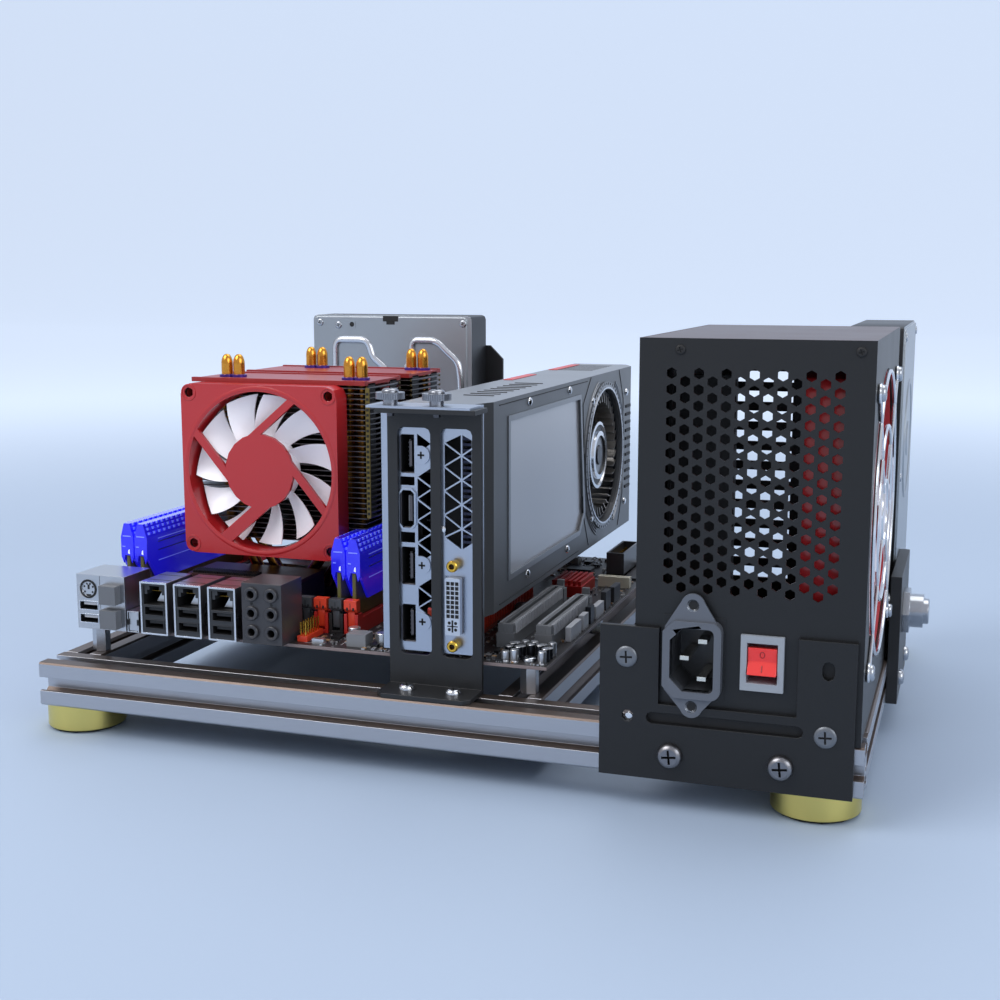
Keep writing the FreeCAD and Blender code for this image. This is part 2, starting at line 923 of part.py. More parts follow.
def fan_frame(front):
    """Square ring with a round opening, four struts and the plate that carries the shaft's bearing."""
    x = cooler_middle_x
    z = fan_middle_z
    half = fan_side / 2
    wires = [soft_corners(x - half, x + half, z - half, z + half, fan_corner, "y", front),
             ring_wire(x, z, fan_opening, "y", front)]
    for side in (-1, 1):
        for level in (-1, 1):
            wires.append(around(x + side * fan_hole_pitch / 2, z + level * fan_hole_pitch / 2,
                                fan_hole_radius, 6, "y", front))
    ring = raise_face(wires, "y", fan_depth)
    struts = []
    for index, angle in enumerate((40.0, 130.0, 220.0, 310.0)):
        width = fan_cable_strut if index == 2 else fan_strut
        strut = box(x, front, z + fan_hub - width - 1.5, fan_opening, fan_hub_sheet, width)
        strut.rotate(Vector(x, front, z), Vector(0, 1, 0), -angle)
        struts.append(strut)
    hub = peg(x, z, fan_hub, hub_sides, "y", front, fan_hub_sheet)
    bore_wire = around(x, z, fan_shaft + shaft_play, small_sides, "y", front + fan_hub_cap)
    bore = raise_face([bore_wire], "y", fan_depth)
    return fuse([ring, hub] + struts).cut(bore)


def blade_section(radius, angle, pitch, chord, thickness, low, high):
    """A blade's slanting section, drawn flat on the plane that touches a circle at an angle."""
    outward = Vector(math.cos(angle), math.sin(angle), 0)
    sideways = Vector(-math.sin(angle), math.cos(angle), 0)
    lean = chord * math.cos(math.radians(pitch)) / 2
    half = thickness / 2 / math.sin(math.radians(pitch))
    corners = []
    for side, edge, level in ((-1, -1, low), (-1, 1, low), (1, 1, high), (1, -1, high)):
        corners.append(outward * radius + sideways * (side * lean + edge * half) + Vector(0, 0, level))
    return Part.makePolygon(corners + corners[:1])


def rotor(hub, radius, depth, blades, chord, sweep, thickness, reach):
    """A fan's wheel about Z: hub, leaning swept blades, and a shaft that reaches below it."""
    solids = [peg(0, 0, hub, 2 * blades, "z", 0, depth),
              peg(0, 0, fan_shaft, small_sides, "z", -reach, reach)]
    for index in range(blades):
        angle = math.radians(360.0 / blades * (index + 0.25))
        root = blade_section(hub * 0.9, angle, blade_root_pitch, chord, thickness, 0.3, depth - 0.3)
        tip = blade_section(radius * 0.965, angle + math.radians(sweep), blade_tip_pitch, chord * 1.7,
                            thickness, 0.3, depth - 0.3)
        solids.append(Part.makeLoft([root, tip], True, True))
    return fuse(solids)


def cooler_rotor(front):
    depth = fan_depth - fan_hub_sheet - 2 * rotor_gap
    wheel = rotor(rotor_hub, rotor_radius, depth, blade_count, blade_chord, blade_sweep, blade_thickness,
                  shaft_reach)
    seat = Vector(cooler_middle_x, front + fan_hub_sheet + rotor_gap, fan_middle_z)
    wheel.Placement = FreeCAD.Placement(seat, FreeCAD.Rotation(Vector(0, 0, 1), Vector(0, 1, 0)))
    return wheel


def ribbed_sink(left, width, front, depth, height, foot, fin, pitch):
    """A finned block whose ribs stand across its width."""
    count = int((width - fin) / pitch) + 1
    points = [(left, board_top), (left + width, board_top), (left + width, board_top + foot)]
    step = (width - fin) / (count - 1)
    for index in reversed(range(count)):
        rib = left + index * step
        points += [(rib + fin, board_top + foot), (rib + fin, board_top + height),
                   (rib, board_top + height), (rib, board_top + foot)]
    points = [point for index, point in enumerate(points) if index == 0 or point != points[index - 1]]
    return prism(points, "y", front, depth)


def expansion_socket(x, front, length):
    body = box(x - expansion_width / 2, front, board_top, expansion_width, length, expansion_height)
    groove = box(x - expansion_groove / 2, front + 2, board_top + expansion_height - expansion_groove_depth,
                 expansion_groove, length - 4, expansion_groove_depth + 1)
    tail = prism([(front + length, board_top), (front + length + latch_tail, board_top),
                  (front + length + latch_tail, board_top + expansion_height + 2),
                  (front + length + latch_tail - 2, board_top + expansion_height + 2),
                  (front + length + 3, board_top + 5), (front + length, board_top + 5)],
                 "x", x - expansion_width / 4, expansion_width / 2)
    return fuse([body.cut(groove), tail])


def expansion_sockets():
    places = [(grey_socket_x, grey_socket_front, grey_socket_length),
              (far_socket_x, far_socket_front, far_socket_length),
              (card_left + card_board_thickness / 2, card_socket_front, card_socket_length)]
    return [expansion_socket(*place_of) for place_of in places]


def board_components():
    """Capacitor cans, the pin header near the memory and the main power socket."""
    solids = []
    for row in range(2):
        for column in range(3):
            solids.append(peg(board_right - 6 - row * 7.6, board_front + 19 + column * 8.4, capacitor_radius,
                              small_sides, "z", board_top, capacitor_height))
    solids.append(middle_box(board_left + header_from_left, board_front + header_from_front, board_top,
                             header_width, header_length, header_height))
    solids.append(power_socket(board_right - 21.7, board_back - power_header_length - 10))
    return solids


def power_socket(x, y):
    block = box(x, y, board_top, power_header_width, power_header_length, power_header_height)
    well = box(x + power_header_wall, y + power_header_wall, board_top + power_header_wall,
               power_header_width - 2 * power_header_wall, power_header_length - 2 * power_header_wall,
               power_header_height)
    return block.cut(well)


def card_holder():
    """A folded sheet: foot on the rail, plate with two windows, and a flange for the thumb screws."""
    back_face = holder_front + holder_sheet
    plate_wires = [outline([(holder_left, 0), (holder_right, 0), (holder_right, holder_top + holder_sheet),
                            (holder_left, holder_top + holder_sheet)], "y", holder_front)]
    for left, width in zip(holder_windows, holder_window_widths):
        plate_wires.append(soft_corners(left, left + width, holder_window_low, holder_window_top,
                                        holder_window_corner, "y", holder_front))
    plate = raise_face(plate_wires, "y", holder_sheet)
    cut = holder_foot_corner
    foot = prism([(holder_left + cut, holder_foot_front), (holder_right - cut, holder_foot_front),
                  (holder_right, holder_foot_front + cut), (holder_right, back_face),
                  (holder_left, back_face), (holder_left, holder_foot_front + cut)], "z", 0, holder_sheet)
    flange_wires = [outline([(holder_left, holder_flange_front), (holder_right + 2, holder_flange_front),
                             (holder_right + 2, back_face), (holder_left, back_face)], "z", holder_top)]
    for x in thumb_xs():
        flange_wires.append(around(x, thumb_y, thumb_shank, small_sides, "z", holder_top))
    flange = raise_face(flange_wires, "z", holder_sheet)
    return fuse([plate, foot, flange])


def thumb_xs():
    return (thumb_first + 1.5, thumb_first + 1.5 + thumb_pitch)


def triangle_column(left, point_x, rows, low, high):
    """Triangles between a bar and a zigzag, their bases on the bar at left."""
    pitch = (high - low) / rows
    bar = lattice_bar
    triangles = []
    for row in range(rows):
        z = low + row * pitch
        triangles.append([(left, z + bar), (left, z + pitch - bar), (point_x, z + pitch / 2)])
    return triangles


def lattice_holes():
    bar = lattice_bar / 2
    holes = triangle_column(lattice_middle - bar, lattice_left, lattice_rows, lattice_low, lattice_top)
    holes += triangle_column(lattice_middle + bar, lattice_right, lattice_rows, lattice_low, lattice_top)
    pitch = (lattice_top - lattice_low) / lattice_rows
    low = lattice_low - pitch / 2
    holes += triangle_column(lattice_left, lattice_middle - 2 * bar - 1, lattice_rows - 1,
                             low + pitch, lattice_top - pitch / 2)
    return holes


def card_bracket():
    """The card's own end plate, with openings for its sockets, and a tab over the holder's flange."""
    front = holder_front + holder_sheet
    top = holder_top + holder_sheet
    wires = [outline([(bracket_left, bracket_bottom), (bracket_left + bracket_width, bracket_bottom),
                      (bracket_left + bracket_width, top), (bracket_left, top)], "y", front)]
    for low in outlet_lows:
        wires.append(outline([(outlet_left, low), (outlet_left + outlet_width, low),
                              (outlet_left + outlet_width, low + outlet_height),
                              (outlet_left, low + outlet_height)], "y", front))
    wires.append(outline([(video_left, video_low), (video_left + video_width, video_low),
                          (video_left + video_width, video_low + video_height),
                          (video_left, video_low + video_height)], "y", front))
    for points in lattice_holes():
        wires.append(outline(points, "y", front))
    plate = raise_face(wires, "y", bracket_sheet)
    bracket_right = bracket_left + bracket_width
    tab_wires = [outline([(bracket_left, holder_flange_front), (bracket_right, holder_flange_front),
                          (bracket_right, front + bracket_sheet), (bracket_left, front + bracket_sheet)],
                         "z", top)]
    for x in thumb_xs():
        tab_wires.append(around(x, thumb_y, thumb_shank, small_sides, "z", top))
    return fuse([plate, raise_face(tab_wires, "z", bracket_sheet)])


def card_ports():
    """Sockets on the card's board that look out through the end plate."""
    solids = []
    front = holder_front + holder_sheet + bracket_sheet
    for low in outlet_lows:
        shell = box(outlet_left, front, low, outlet_width, outlet_depth, outlet_height)
        well = box(outlet_left + outlet_wall, front - 1, low + outlet_wall, outlet_width - 2 * outlet_wall,
                   outlet_depth - 1, outlet_height - 2 * outlet_wall)
        tongue = box(outlet_left + outlet_width * 0.6, front, low + 3, 1.2, outlet_depth, outlet_height - 6)
        solids.append(fuse([shell.cut(well), tongue]))
    solids.append(box(video_left, front - bracket_sheet, video_low, video_width, outlet_depth, video_height))
    return solids


def card_board():
    """The card's board with the gold edge that stands in its socket."""
    low = board_top + expansion_height - expansion_groove_depth + 0.5
    edge = card_bottom - 4
    top = card_top - 2
    end = card_front + card_board_length
    contact_end = card_contact_front + card_contact_length
    points = [(card_front, edge), (card_contact_front, edge), (card_contact_front, low), (contact_end, low),
              (contact_end, edge), (end, edge), (end, top), (card_front, top)]
    return prism(points, "x", card_left, card_board_thickness)


def card_shroud():
    """A moulded cover, open to the board: window recess, fan opening and slots along its top."""
    back_end = card_front + card_length
    height = card_top - card_bottom
    depth = card_right - card_board_x
    top_points = [(card_board_x, card_front), (card_right - shroud_nose / 3, card_front),
                  (card_right, card_front + shroud_nose), (card_right, back_end - shroud_nose),
                  (card_right - shroud_nose / 2, back_end), (card_board_x, back_end)]
    outer = prism(top_points, "z", card_bottom, height)
    inner = box(card_board_x - 1, card_front - 1, card_bottom + shroud_wall,
                depth - shroud_wall - window_depth + 1, card_length - shroud_wall + 1, height - 2 * shroud_wall)
    beyond = card_right + 1
    far_corner = [(beyond, back_end - shroud_nose - 4), (beyond, back_end + 1),
                  (card_right - shroud_nose, back_end + 1)]
    near_corner = [(beyond, card_front + shroud_nose + 4), (beyond, card_front - 2),
                   (card_right - shroud_nose / 2 - 0.5, card_front - 2)]
    for corner in (far_corner, near_corner):
        inner = inner.cut(prism(corner, "z", card_bottom - 1, height + 2))
    shroud = outer.cut(inner)
    port_gap = box(card_left, card_front - 1, card_bottom - 1, video_left + video_width + 1 - card_left,
                   outlet_depth + 3, shroud_wall + 2)
    shroud = shroud.cut(port_gap)
    window = prism([(window_front, window_low), (window_back, window_low),
                    (window_back + window_slant, window_low + window_slant),
                    (window_back, window_top), (window_front, window_top)],
                   "x", card_right - window_depth, window_depth + 1)
    opening = right(card_right - 10, blower_y, blower_z, blower_opening, 20)
    slots = []
    for index in range(vent_slots):
        y = back_end - 14 - index * vent_slot_pitch
        slots.append(box(card_board_x + 6, y - vent_slot_width / 2, card_top - shroud_wall - 1,
                         vent_slot_length, vent_slot_width, shroud_wall + 2))
    return shroud.cut(Part.makeCompound([window, opening])).cut(Part.makeCompound(slots))


def card_heatsink():
    """A finned block between the end plate and the blower, its fins running front to back."""
    count = int((card_top - card_bottom - 2 * shroud_wall - 4) / sink_fin_pitch)
    low = card_bottom + shroud_wall + 1
    solids = [box(sink_left, sink_front, low, sink_foot, sink_depth, count * sink_fin_pitch)]
    for index in range(count):
        solids.append(box(sink_left, sink_front, low + index * sink_fin_pitch, sink_width, sink_depth,
                          sink_fin))
    return fuse(solids)


def card_blower():
    """A drum wheel about X: floor, hub and a ring of straight blades, turning on the board's post."""
    left = card_right - shroud_wall - blower_depth
    floor = peg(blower_y, blower_z, blower_radius + 0.5, blower_sides, "x", left, blower_floor)
    hub = peg(blower_y, blower_z, blower_hub, blower_hub_sides, "x", left, blower_depth)
    solids = [floor, hub]
    for index in range(blower_blades):
        blade = box(left + blower_floor, blower_y + blower_ring, blower_z - blower_blade / 2,
                    blower_depth - blower_floor, blower_radius - blower_ring, blower_blade)
        blade.rotate(Vector(left, blower_y, blower_z), Vector(1, 0, 0), 360.0 / blower_blades * index)
        solids.append(blade)
    bore_wire = around(blower_y, blower_z, fan_post_radius + shaft_play, blower_post_sides, "x", left - 1)
    bore = raise_face([bore_wire], "x", blower_bearing + 1)
    return solids[0].multiFuse(solids[1:]).cut(bore)


def blower_post():
    left = card_right - shroud_wall - blower_depth
    return peg(blower_y, blower_z, fan_post_radius, blower_post_sides, "x", card_board_x,
               left + blower_bearing - 1 - card_board_x)


def vent_wires():
    """Rows of six-sided holes, every other column half a row lower."""
    wires = []
    for column in range(vent_columns):
        x = psu_left + vent_first_x + column * vent_pitch_x
        drop = vent_pitch_z / 2 if column % 2 else 0.0
        for row in range(vent_rows):
            z = vent_top_z - row * vent_pitch_z - drop
            wires.append(hexagon(x, z, vent_corner, "y", 0))
    return wires


def inlet_outline(grow, level):
    """The inlet's body, its two lower corners cut off."""
    half = inlet_body_width / 2 + grow
    tall = inlet_body_height / 2 + grow
    x = psu_left + inlet_x
    cut = inlet_cut
    points = [(x - half + cut, inlet_z - tall), (x + half - cut, inlet_z - tall),
              (x + half, inlet_z - tall + cut), (x + half, inlet_z + tall), (x - half, inlet_z + tall),
              (x - half, inlet_z - tall + cut)]
    return outline(points, "y", level)


def psu_case():
    """One folded sheet: front with the vents and cut-outs, left side, and back with its air slots."""
    front_wires = [outline([(psu_left, 0), (psu_right, 0), (psu_right, psu_height), (psu_left, psu_height)],
                           "y", 0)]
    front_wires += vent_wires()
    front_wires.append(inlet_outline(inlet_fit, 0))
    x = psu_left + switch_x
    half = switch_body_width / 2 + inlet_fit
    tall = switch_body_height / 2 + inlet_fit
    front_wires.append(outline([(x - half, switch_z - tall), (x + half, switch_z - tall),
                                (x + half, switch_z + tall), (x - half, switch_z + tall)], "y", 0))
    front = raise_face(front_wires, "y", psu_sheet)
    side = box(psu_left, 0, 0, psu_sheet, psu_depth, psu_height)
    rear = box(psu_left, psu_depth - psu_sheet, 0, psu_width, psu_sheet, psu_height)
    slots = []
    for index in range(back_slots):
        slots.append(box(psu_left + back_slot_left, psu_depth - 2 * psu_sheet,
                         back_slot_first + index * back_slot_pitch, back_slot_right - back_slot_left,
                         3 * psu_sheet, back_slot_height))
    rear = rear.cut(Part.makeCompound(slots))
    return fuse([front, side, rear])


def psu_cover():
    """The other folded sheet: top, right side with the fan's window, and bottom."""
    length = psu_depth - 2 * psu_sheet
    width = psu_width - psu_sheet
    top = box(psu_left + psu_sheet, psu_sheet, psu_height - psu_sheet, width, length, psu_sheet)
    bottom = box(psu_left + psu_sheet, psu_sheet, 0, width, length, psu_sheet)
    wires = [outline([(psu_sheet, 0), (psu_depth - psu_sheet, 0), (psu_depth - psu_sheet, psu_height),
                      (psu_sheet, psu_height)], "x", psu_right - psu_sheet),
             ring_wire(psu_fan_y, psu_fan_z, psu_window_radius, "x", psu_right - psu_sheet)]
    side = raise_face(wires, "x", psu_sheet)
    return fuse([top, side, bottom])


def psu_fan_frame():
    face = psu_right - psu_sheet
    left = face - psu_fan_depth
    half = psu_fan_side / 2
    wires = [soft_corners(psu_fan_y - half, psu_fan_y + half, psu_fan_z - half, psu_fan_z + half,
                          psu_fan_corner, "x", left),
             ring_wire(psu_fan_y, psu_fan_z, psu_fan_opening, "x", left)]
    ring = raise_face(wires, "x", psu_fan_depth)
    struts = []
    for index in range(4):
        strut = box(left, psu_fan_y, psu_fan_z - fan_strut / 2, fan_hub_sheet, psu_fan_opening + 1, fan_strut)
        strut.rotate(Vector(left, psu_fan_y, psu_fan_z), Vector(1, 0, 0), 45 + 90 * index)
        struts.append(strut)
    hub = peg(psu_fan_y, psu_fan_z, psu_fan_hub, hub_sides, "x", left, fan_hub_sheet)
    bore_wire = around(psu_fan_y, psu_fan_z, fan_shaft + shaft_play, small_sides, "x", left + fan_hub_cap)
    bore = raise_face([bore_wire], "x", psu_fan_depth)
    return fuse([ring, hub] + struts).cut(bore)


def psu_fan_rotor_wheel():
    depth = psu_fan_depth - fan_hub_sheet - 2 * rotor_gap - 1
    wheel = rotor(psu_fan_hub, psu_fan_rotor, depth, psu_fan_blades, psu_blade_chord, psu_blade_sweep,
                  psu_blade_thickness, shaft_reach)
    left = psu_right - psu_sheet - psu_fan_depth + fan_hub_sheet + rotor_gap
    wheel.Placement = FreeCAD.Placement(Vector(left, psu_fan_y, psu_fan_z),
                                        FreeCAD.Rotation(Vector(0, 0, 1), Vector(1, 0, 0)))
    return wheel


def psu_guard():
    """Rings of wire welded to four arms that reach past the fan's window."""
    face = psu_right
    solids = []
    for radius in guard_rings:
        wires = [around(psu_fan_y, psu_fan_z, radius, guard_sides, "x", face + guard_wire),
                 around(psu_fan_y, psu_fan_z, radius - guard_wire, guard_sides, "x", face + guard_wire)]
        solids.append(raise_face(wires, "x", guard_wire))
    arm = psu_fan_screw_pitch / math.sqrt(2)
    for index in range(4):
        start = guard_rings[0] - guard_wire
        bar = box(face, psu_fan_y + start, psu_fan_z - guard_wire / 2, guard_wire, arm - start, guard_wire)
        bar.rotate(Vector(face, psu_fan_y, psu_fan_z), Vector(1, 0, 0), 45 + 90 * index)
        solids.append(bar)
    return fuse(solids)


def psu_inlet():
    """Socket body in an eared flange, and its three blades."""
    x = psu_left + inlet_x
    body = Part.Face(inlet_outline(0, 0)).extrude(Vector(0, inlet_depth, 0))
    half = inlet_body_width / 2 + 0.9
    ear = inlet_ear_radius
    top = inlet_z + inlet_screw_spacing / 2 + ear
    low = plate_notch_low + inlet_fit
    shoulder = inlet_z + inlet_body_height / 2 - 2
    hip = inlet_z - inlet_body_height / 2 + 5
    points = [(x - ear, low), (x + ear, low), (x + half, hip), (x + half, shoulder), (x + ear, top - ear),
              (x + ear * 0.5, top), (x - ear * 0.5, top), (x - ear, top - ear), (x - half, shoulder),
              (x - half, hip)]
    plate = prism(points, "y", -inlet_flange, inlet_flange)
    half = inlet_cavity_width / 2
    tall = inlet_cavity_height / 2
    cut = inlet_cut
    cavity = prism([(x - half + cut, inlet_z - tall), (x + half - cut, inlet_z - tall),
                    (x + half, inlet_z - tall + cut), (x + half, inlet_z + tall),
                    (x - half, inlet_z + tall), (x - half, inlet_z - tall + cut)],
                   "y", -inlet_flange - 1, inlet_cavity_depth + inlet_flange + 1)
    housing = fuse([body, plate]).cut(cavity)
    blades = []
    for dx, dz in ((0, 4.5), (-5.0, -3.5), (5.0, -3.5)):
        blades.append(box(x + dz - 0.5 - blade_pin_width / 2, inlet_cavity_depth - blade_pin_length,
                          inlet_z + dx - blade_pin_thickness / 2, blade_pin_width, blade_pin_length,
                          blade_pin_thickness))
    return housing, blades


def switch_parts():
    """The switch's bezel and hollow body, and the rocker that tilts on two pins in it."""
    x = psu_left + switch_x
    bezel = box(x - switch_frame_width / 2, -switch_flange, switch_z - switch_frame_height / 2,
                switch_frame_width, switch_flange, switch_frame_height)
    body = box(x - switch_body_width / 2, 0, switch_z - switch_body_height / 2,
               switch_body_width, switch_depth, switch_body_height)
    well = box(x - switch_well_width / 2, -switch_flange - 1, switch_z - switch_well_height / 2,
               switch_well_width, switch_depth - 1, switch_well_height)
    half = switch_well_width / 2 - rocker_play
    reach = half + rocker_pin_reach
    y = rocker_pivot_back
    frame = fuse([bezel, body]).cut(well)
    tall = math.sqrt(rocker_swing ** 2 - rocker_reach ** 2)
    side = [(y - rocker_waist, switch_z), (y - rocker_reach, switch_z + tall), (y + 1.5, switch_z + tall),
            (y + 4.0, switch_z + 2), (y + 4.0, switch_z - 2), (y + 1.5, switch_z - tall),
            (y - rocker_reach, switch_z - tall)]
    rocker = prism(side, "x", x - half, 2 * half)
    pins = peg(y, switch_z, rocker_pin, small_sides, "x", x - reach, 2 * reach)
    frame = frame.cut(peg(y, switch_z, pin_hole_radius(), small_sides, "x", x - reach - 0.2, 2 * reach + 0.4))
    rocker = fuse([rocker, pins])
    rocker.rotate(Vector(x, y, switch_z), Vector(1, 0, 0), -rocker_tilt)
    return frame, rocker


def pin_hole_radius():
    return (rocker_pin + shaft_play) / math.cos(math.pi / small_sides)


def psu_electronics():
    """The circuit board on the left side, with its heat sinks, transformer and largest capacitor."""
    left = psu_left + psu_sheet + circuit_stand
    start = inlet_depth + circuit_margin
    end = psu_depth - circuit_margin
    face = left + circuit_thickness
    low = inlet_z
    tall = psu_height - 2 * circuit_margin - low
    parts = [box(left, start, circuit_margin, circuit_thickness, end - start,
                 psu_height - 2 * circuit_margin)]
    for y in (start + circuit_margin, end - circuit_margin - circuit_foot):
        for z in (2 * circuit_margin, psu_height - 2 * circuit_margin - circuit_foot):
            parts.append(box(psu_left + psu_sheet, y, z, circuit_stand, circuit_foot, circuit_foot))
    parts.append(box(face, start + circuit_margin, low, sink_plate_reach, sink_plate, tall))
    parts.append(box(face, end - 2 * circuit_margin, low, rear_sink_reach, sink_plate, tall))
    middle = (start + end - transformer_depth) / 2
    parts.append(box(face, middle, low, transformer_reach, transformer_depth, transformer_height))
    parts.append(box(face, middle, low + transformer_height + circuit_margin, transformer_reach,
                     transformer_depth, transformer_height))
    return [fuse(parts)]


def mounting_plate():
    """The flat plate that ties the power supply to the front rail."""
    notch = [(plate_left, plate_bottom), (plate_right, plate_bottom), (plate_right, plate_ear_top),
             (plate_right_ear, plate_ear_top), (plate_right_ear, plate_notch_low),
             (plate_left_ear, plate_notch_low), (plate_left_ear, plate_ear_top), (plate_left, plate_ear_top)]
    level = -plate_sheet
    half = plate_slot_width / 2
    x, z = plate_slotted_hole
    wires = [outline(notch, "y", level),
             soft_corners(plate_slot_left, plate_slot_right, plate_slot_z - half, plate_slot_z + half,
                          half - 0.1, "y", level),
             soft_corners(x - plate_hole_radius, x + plate_hole_radius, z - plate_slotted_length / 2,
                          z + plate_slotted_length / 2, plate_hole_radius - 0.1, "y", level),
             around(plate_hole[0], plate_hole[1], plate_hole_radius, small_sides, "y", level)]
    plate = raise_face(wires, "y", plate_sheet)
    plate.translate(Vector(psu_left, 0, 0))
    return plate


def hard_drive():
    """A drive standing on its end about the origin, its cover towards -Y: casting and lid."""
    body = raise_face([soft_corners(0, drive_width, 0, drive_length, drive_corner, "y", drive_cover)],
                      "y", drive_thickness - drive_cover)
    inset = drive_cover_inset
    lid = raise_face([soft_corners(inset / 3, drive_width - inset, inset, drive_length - inset / 3,
                                   drive_corner, "y", 0)], "y", drive_cover)
    return fuse([body, lid])


def drives():
    rear = hard_drive()
    rear.translate(Vector(back_drive_left, frame_depth - drive_thickness, drive_bracket_sheet))
    side = hard_drive()
    side.rotate(Vector(0, 0, 0), Vector(0, 0, 1), 90)
    side.translate(Vector(frame_length, frame_depth - right_drive_inset, drive_bracket_sheet))
    return [rear, side]


def drive_bracket():
    """An angle of sheet: foot under the drive and a plate up its back, about the drive's own corner."""
    ear = drive_bracket_ear
    cut = drive_bracket_corner
    end = drive_width + ear
    foot = box(-ear, 6, 0, end + ear, drive_thickness + drive_bracket_sheet - 6, drive_bracket_sheet)
    plate = prism([(-ear, 0), (end, 0), (end, drive_bracket_top - cut), (end - cut, drive_bracket_top),
                   (cut - ear, drive_bracket_top), (-ear, drive_bracket_top - cut)],
                  "y", drive_thickness, drive_bracket_sheet)
    return fuse([foot, plate])


def drive_brackets():
    rear = drive_bracket()
    rear.translate(Vector(back_drive_left, frame_depth - drive_thickness, 0))
    side = drive_bracket()
    side.rotate(Vector(0, 0, 0), Vector(0, 0, 1), 90)
    side.translate(Vector(frame_length, frame_depth - right_drive_inset, 0))
    return [rear, side]


def button_bracket():
    wires = [outline([(button_plate_front, button_plate_bottom), (button_plate_back, button_plate_bottom),
                      (button_plate_back, button_plate_top), (button_plate_front, button_plate_top)],
                     "x", frame_length),
             ring_wire(button_y, button_z, button_thread + button_hole_play, "x", frame_length)]
    return raise_face(wires, "x", button_plate_sheet)


def button_parts():
    """The threaded barrel with its collar and nut, and the cap that slides in it."""
    face = frame_length + button_plate_sheet
    corner = button_nut_across / math.sqrt(3)
    nut = raise_face([hexagon(button_y, button_z, corner, "x", face, 0.0)], "x", button_nut_height)
    start = frame_length - button_body_depth
    length = button_body_depth + button_plate_sheet + button_collar_reach
    barrel = peg(button_y, button_z, button_thread, knurl_sides, "x", start, length)
    well = raise_face([around(button_y, button_z, button_bore, knurl_sides, "x", start + button_floor)],
                      "x", length)
    body = fuse([nut, barrel]).cut(well)
    low = frame_length - button_body_depth + button_floor + button_travel + 0.5
    cap = peg(button_y, button_z, button_cap_radius, knurl_sides, "x", low, face + button_cap_reach - low)
    return body, cap


def thumb_screws():
    seat = holder_top + holder_sheet + bracket_sheet
    solids = []
    for x in thumb_xs():
        head_low = seat + thumb_neck_height
        shank_low = holder_top - thumb_tip
        solids.append(fuse([
            peg(x, thumb_y, thumb_shank, small_sides, "z", shank_low, seat - shank_low),
            peg(x, thumb_y, thumb_neck, small_sides, "z", seat, thumb_neck_height),
            peg(x, thumb_y, thumb_head, knurl_sides, "z", head_low, thumb_head_height),
            peg(x, thumb_y, thumb_cap, small_sides, "z", head_low + thumb_head_height, thumb_cap_height)]))
    return solids


def build_nodes():
    side_length = frame_depth - 2 * profile_side
    feet_bodies, pads = feet()
    shells, inserts = ports()
    sockets, latches, modules, covers = memory()
    inlet, inlet_blades = psu_inlet()
    switch_frame, rocker = switch_parts()
    button_body, button_cap = button_parts()
    nodes = {
        "front_rail": [rail("x", front_slot_y, 0, frame_length, True)],
        "rear_rail": [rail("x", back_slot_y, 0, frame_length, True)],
        "left_rail": [rail("y", left_slot_x, profile_side, side_length, False)],
        "middle_rail": [rail("y", middle_slot_x, profile_side, side_length, False)],
        "right_rail": [rail("y", right_slot_x, profile_side, side_length, False)],
        "corner_connectors": corner_connectors(),
        "brass_feet": feet_bodies,
        "foot_pads": pads,
        "motherboard": [motherboard()],
        "board_standoffs": standoffs(),
        "port_shells": shells,
        "port_inserts": inserts,
        "memory_sockets": sockets,
        "memory_boards": modules,
        "memory_spreaders": covers,
        "processor_socket": processor_socket(),
        "port_heatsink": [ribbed_sink(port_sink_left, port_sink_width, port_sink_front, port_sink_depth,
                                      port_sink_height, port_sink_foot, port_sink_fin, port_sink_pitch)],
        "chipset_heatsink": [ribbed_sink(chip_sink_left, chip_sink_width, chip_sink_front, chip_sink_depth,
                                         chip_sink_height, chip_sink_foot, chip_sink_fin, chip_sink_pitch)],
        "expansion_sockets": expansion_sockets(),
        "board_components": board_components(),
        "cooler_base": cooler_base(),
        "heat_pipes": heat_pipes(),
        "cooler_fins": cooler_fins(),
        "fan_frames": [fan_frame(front) for front in fan_fronts],
        "card_holder": [card_holder()],
        "card_bracket": [card_bracket()],
        "card_ports": card_ports(),
        "card_board": [fuse([card_board(), blower_post()])],
        "card_heatsink": [card_heatsink()],
        "card_shroud": [card_shroud()],
        "card_blower": [card_blower()],
        "psu_case": [psu_case()],
        "psu_cover": [psu_cover()],
        "psu_electronics": psu_electronics(),
        "psu_fan_frame": [psu_fan_frame()],
        "psu_fan_rotor": [psu_fan_rotor_wheel()],
        "psu_guard": [psu_guard()],
        "psu_inlet": [inlet],
        "inlet_blades": inlet_blades,
        "psu_switch": [switch_frame],
        "psu_rocker": [rocker],
        "psu_plate": [mounting_plate()],
        "hard_drives": drives(),
        "drive_brackets": drive_brackets(),
        "button_bracket": [button_bracket()],
        "button_body": [button_body],
        "button_cap": [button_cap],
        "thumb_screws": thumb_screws(),
    }
    for index, name in enumerate(("front_rotor", "middle_rotor", "back_rotor")):
        nodes[name] = [cooler_rotor(fan_fronts[index])]
    for index, latch in enumerate(latches):
        nodes["memory_latch_%d" % (index + 1)] = [latch]
    return nodes


def origin_shift(nodes):
    """From the frame's own corner to the middle of the base."""
    everything = Part.makeCompound([solid for solids in nodes.values() for solid in solids])
    bound = everything.optimalBoundingBox(False, False)
    return Vector(-(bound.XMin + bound.XMax) / 2, -(bound.YMin + bound.YMax) / 2, -bound.ZMin)


